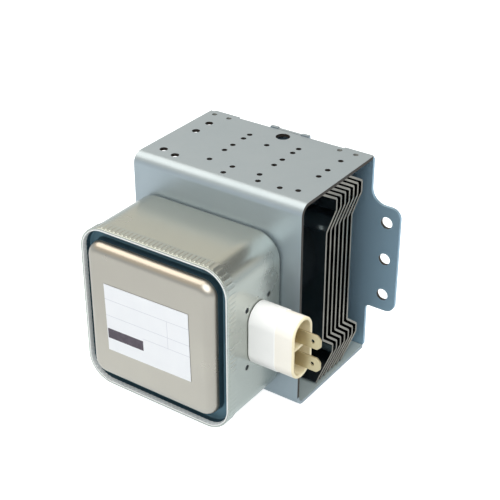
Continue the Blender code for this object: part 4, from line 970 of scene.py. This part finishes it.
shell_bm = oval(SHELL_HALF_Y, SHELL_HALF_Z, SHELL_BACK, 20)
push(shell_bm, 0.0, STEP_AT)
push(shell_bm, STEP, STEP)
push(shell_bm, 0.0, SHELL_LENGTH - STEP_AT - STEP - MOUTH_OUTER)
round_over(shell_bm, MOUTH_OUTER, 1, 4, axis=0)
push(shell_bm, MOUTH_LIP, 0.0)
round_over(shell_bm, MOUTH_INNER, -1, 3, from_wall=False, axis=0)
push(shell_bm, 0.0, MOUTH_INNER - SHELL_LENGTH)
inner_end = max(shell_bm.faces, key=lambda face: len(face.verts))
inner_loop = list(inner_end.edges)
bmesh.ops.delete(shell_bm, geom=[inner_end], context="FACES_ONLY")
outer_loop = [edge for edge in shell_bm.edges if edge.is_boundary and edge not in inner_loop]
bmesh.ops.bridge_loops(shell_bm, edges=inner_loop + outer_loop)
face_outwards(shell_bm)
straight = SHELL_HALF_Z - SHELL_HALF_Y
# Inner faces and the mouth's end take the painted reflection of the resin.
for face in shell_bm.faces:
    centre = face.calc_center_median() - Vector((0.0, PLUG_Y, PLUG_Z))
    centre.z -= max(-straight, min(straight, centre.z))
    faces_inwards = face.normal.y * centre.y + face.normal.z * centre.z < 0
    if faces_inwards or centre.x > INSIDE_FROM:
        face.material_index = 2
    elif centre.x > CREAM_FROM:
        face.material_index = 1
shell = make_object(shell_bm, "plug_shell", white_plastic, cream_plastic, shell_painted_bounce)
web = bmesh.new()
block(web, (WEB_X, PLUG_Y, PLUG_Z), WEB_SIZE)
combine(shell, web, "UNION", shell_painted_bounce)
break_edges(shell, 0.15 * MM, 2, 40.0)
apply_all(shell)
hand_over(shell, "capacitor_shell")

# %% [markdown]
# ## Resin and terminals
#
# Inside, the two terminals stand in poured resin, which creeps a little up the wall. The terminals
# are blanked from tinned brass with chamfered tips and a small hole for the connector's catch.

# %% Pour the resin and blank the terminals
TAB_OFFSET, TAB_SHEET = 5.0 * MM, 0.8 * MM
CATCH_X, CATCH_RADIUS = 56.4 * MM, 0.8 * MM
lower_half = [(19.2, -3.15, 0.0), (58.4, -3.15, 1.2), (60.0, -1.55, 1.2)]

resin_bm = oval(5.05 * MM, 11.45 * MM, 21.2 * MM, 16)
push(resin_bm, 0.0, 21.8 * MM)
push(resin_bm, 0.35 * MM, -0.18 * MM)
push(resin_bm, 0.5 * MM, -0.1 * MM)
bmesh.ops.contextual_create(resin_bm, geom=[edge for edge in resin_bm.edges if edge.is_boundary])
face_outwards(resin_bm)
resin = make_object(resin_bm, "resin", cast_resin)
slots = bmesh.new()
for side in (-1, 1):
    block(slots, (40.0 * MM, PLUG_Y, PLUG_Z + side * TAB_OFFSET), (50 * MM, 1.1 * MM, 6.6 * MM))
combine(resin, slots, "DIFFERENCE")
break_edges(resin, 0.08 * MM, 2, 40.0)
apply_all(resin)
hand_over(resin, "capacitor_core")

for name, node, side in (("upper_terminal", "terminal_upper", 1), ("lower_terminal", "terminal_lower", -1)):
    z = (PLUG_Z + side * TAB_OFFSET) / MM
    tab = [(x, z + height, radius) for x, height, radius in lower_half]
    tab += [(x, z - height, radius) for x, height, radius in reversed(lower_half)]
    terminal = make_object(blank(tab, TAB_SHEET, PLUG_Y - TAB_SHEET / 2), name, tinned_brass)
    catch = bmesh.new()
    drill(catch, (CATCH_X, PLUG_Y, z * MM), (0, 1, 0), CATCH_RADIUS, 3 * MM, 24)
    combine(terminal, catch, "DIFFERENCE")
    break_edges(terminal, 0.16 * MM, 3)
    apply_all(terminal)
    hand_over(terminal, node)

# %% [markdown]
# ## The woven gasket
#
# The gasket is knitted from fine wire and rolled into a ring. Its threads follow the ring, so the pattern is
# worked out from two angles: one round the tube's axis, and one round the ring's own section. Two sets of
# slanting threads cross, and each gives a wave to the colour and to the bumps. The colour is painted dark
# between the threads: painted shade.

# %% Finish and turn the gasket
RING_RADIUS, RING_Y, RING_SECTION = 14.3, 30.4, 2.3
THREADS, SLANT = 96.0, 12.0


def ring_angles(tree, place):
    """The angle round the axis and the angle round the ring's section, for each point."""
    parts = add_node(tree, "ShaderNodeSeparateXYZ", {"Vector": place}).outputs
    x = parts["X"]
    z = compute(tree, "SUBTRACT", parts["Z"], AXIS_Z)
    y = compute(tree, "SUBTRACT", parts["Y"], RING_Y * MM)
    flat = add_node(tree, "ShaderNodeCombineXYZ", {"X": x, "Y": z}).outputs[0]
    outwards = compute(tree, "SUBTRACT", measure(tree, "LENGTH", flat), RING_RADIUS * MM)
    return compute(tree, "ARCTAN2", z, x), compute(tree, "ARCTAN2", y, outwards)


def threads(tree, round_axis, round_section, slant):
    """A wave for each thread of a set that winds round the ring."""
    along = compute(tree, "MULTIPLY", round_axis, THREADS)
    return compute(tree, "SINE", compute(tree, "MULTIPLY_ADD", round_section, slant, along))


gasket_mesh, tree, shader, place = new_finish("gasket_mesh")
round_axis, round_section = ring_angles(tree, place)
one_way = threads(tree, round_axis, round_section, SLANT)
other_way = threads(tree, round_axis, round_section, -SLANT)
shade = between(tree, compute(tree, "MAXIMUM", one_way, other_way), 0.0, 1.0, -0.4, 1.0)
# Painted shade: dark between the threads, pale on them.
threads_and_painted_shade = two_colours(tree, shade, (0.10, 0.095, 0.08), (0.62, 0.58, 0.50))
tree.links.new(threads_and_painted_shade, shader.inputs["Base Color"])
tree.links.new(bumps(tree, shade, 0.25 * MM), shader.inputs["Normal"])
shader.inputs["Metallic"].default_value = 1.0
shader.inputs["Roughness"].default_value = 0.42

gasket_section = quarter(RING_RADIUS, RING_Y, RING_SECTION, 0, 345, 23)
gasket = make_object(turned(gasket_section, 120), "woven_gasket", gasket_mesh)
apply_all(gasket, 80.0)
hand_over(gasket, "rf_gasket")

# %% [markdown]
# ## The pieces that stay as packed
#
# The inside of the tube and the filter are closed in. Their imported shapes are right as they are, and
# each gets the finish of its real metal or ceramic by a change of its material slot only.

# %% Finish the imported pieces
kept = {
    copper: [f"vane_{number:02d}" for number in range(1, 11)]
    + ["strap_inner_input", "strap_inner_output", "strap_outer_input", "strap_outer_output"]
    + ["antenna_lead", "choke_upper", "choke_lower"],
    stainless: ["pole_piece_input", "pole_piece_output", "stem_cylinder"],
    refractory_metal: ["filament", "end_hat_input", "end_hat_output", "centre_lead", "side_lead"],
    alumina: ["stem_ceramic"],
    tinned_brass: ["stem_post_left", "stem_post_right"],
    ferrite: ["ferrite_upper", "ferrite_lower"],
    zinc_plated_steel: ["capacitor_flange"],
}
for finish, names in kept.items():
    for name in names:
        for slot in nodes[name].material_slots:
            slot.material = finish
finished = sum(len(names) for names in kept.values())
dressed = sum(node.hide_render for node in nodes.values())
print("packed pieces kept:", finished, "replaced:", dressed, "of", len(nodes))

# %% [markdown]
# ## The studio
#
# The photograph has a white ground and soft light, here from two large round lamps. Metal shows what
# it mirrors, so that is set apart from the white that the camera sees. In metal, the floor is bluish
# with a lighter patch before the box, and so the side faces look bluer and darker than the top. One
# dark patch in the mirrored sky gives the box's upper right corner its dark band.

# %% Floor and surroundings
FLOOR_Z = -0.0003
WHITE_TO_CAMERA = 0.85
PATCH_CENTRE, PATCH_START, PATCH_END = (-20 * MM, -60 * MM, 0.0), 45 * MM, 90 * MM
PATCH_GLOW, FLOOR_GLOW = 0.48, 0.28
DARK_WAY, DARK_STARTS, DARK_FULL, DARK_LEFT = (0.27, 0.709, 0.65), 0.87, 0.95, 0.12


def light_rays(tree):
    """Whether the camera sees a point, and whether metal or glass mirrors it."""
    rays = add_node(tree, "ShaderNodeLightPath").outputs
    return rays["Is Camera Ray"], compute(tree, "MAXIMUM", rays["Is Glossy Ray"], rays["Is Transmission Ray"])


floor_paper = bpy.data.materials.new("floor_paper")
floor_paper.use_nodes = True
tree = floor_paper.node_tree
shader = tree.nodes["Principled BSDF"]
shader.inputs["Base Color"].default_value = (0.54, 0.56, 0.57, 1.0)
shader.inputs["Roughness"].default_value = 0.9
direct, mirrored = light_rays(tree)
seen = compute(tree, "MULTIPLY", direct, WHITE_TO_CAMERA)
place = add_node(tree, "ShaderNodeTexCoord").outputs["Object"]
away = measure(tree, "DISTANCE", place, PATCH_CENTRE)
lit_patch = between(tree, away, PATCH_GLOW, FLOOR_GLOW, PATCH_START, PATCH_END)
glow = compute(tree, "MULTIPLY_ADD", mirrored, lit_patch, seen)
tint = two_colours(tree, direct, (0.86, 0.96, 1.0), (1.0, 1.0, 1.0))
tree.links.new(tint, shader.inputs["Emission Color"])
tree.links.new(glow, shader.inputs["Emission Strength"])
floor_bm = bmesh.new()
below = Matrix.Translation((0, 0, FLOOR_Z))
bmesh.ops.create_grid(floor_bm, x_segments=1, y_segments=1, size=4.0, matrix=below)
make_object(floor_bm, "floor", floor_paper)

world = bpy.data.worlds.new("studio")
bpy.context.scene.world = world
world.use_nodes = True
tree = world.node_tree
tree.nodes.clear()
way = add_node(tree, "ShaderNodeTexCoord").outputs["Generated"]
height = add_node(tree, "ShaderNodeSeparateXYZ", {"Vector": way}).outputs["Z"]
ramp = add_node(tree, "ShaderNodeValToRGB", {"Fac": height})
ramp.color_ramp.elements[0].position = 0.05
ramp.color_ramp.elements[0].color = (0.60, 0.68, 0.74, 1.0)
ramp.color_ramp.elements[1].position = 0.5
ramp.color_ramp.elements[1].color = (0.80, 0.73, 0.61, 1.0)
towards = measure(tree, "DOT_PRODUCT", way, DARK_WAY)
open_part = between(tree, towards, 1.0, DARK_LEFT, DARK_STARTS, DARK_FULL)
soft_light = add_node(tree, "ShaderNodeBackground", {"Color": (0.80, 0.80, 0.80, 1.0), "Strength": 1.0})
white = add_node(tree, "ShaderNodeBackground", {"Color": (1.0, 1.0, 1.0, 1.0), "Strength": 1.0})
direct, mirrored = light_rays(tree)
sky_in_metal = add_node(tree, "ShaderNodeBackground", {"Color": ramp.outputs["Color"], "Strength": open_part})
unseen = {0: mirrored, 1: soft_light.outputs[0], 2: sky_in_metal.outputs[0]}
first = add_node(tree, "ShaderNodeMixShader", unseen)
second = add_node(tree, "ShaderNodeMixShader", {0: direct, 1: first.outputs[0], 2: white.outputs[0]})
add_node(tree, "ShaderNodeOutputWorld", {"Surface": second.outputs[0]})
print("floor and surroundings ready")

# %% Lamps
LAMPS_AIM = Vector((0.0, -0.01, 0.05))


def soft_lamp(name, direction, distance, size, watts, colour):
    """A round lamp that looks at the object from the given direction."""
    data = bpy.data.lights.new(name, "AREA")
    data.shape = "DISK"
    data.size = size
    data.energy = watts
    data.color = colour
    lamp = bpy.data.objects.new(name, data)
    toward = Vector(direction).normalized()
    lamp.location = LAMPS_AIM + toward * distance
    lamp.rotation_euler = toward.to_track_quat("Z", "Y").to_euler()
    bpy.context.scene.collection.objects.link(lamp)


soft_lamp("overhead", (-0.48, -0.05, 0.87), 0.75, 0.82, 3.1, (1.0, 0.95, 0.875))
soft_lamp("window", (0.40, -0.50, 0.77), 0.80, 0.85, 4.6, (0.88, 0.95, 1.0))
print("lamps:", len(bpy.data.lights))

# %% [markdown]
# ## The last line
#
# Each piece printed how far its box reaches past its CAD node's box when it took the node's place. The last
# line sets the standard view.

# %% Set the view
bpy.context.scene.view_settings.view_transform = "Standard"
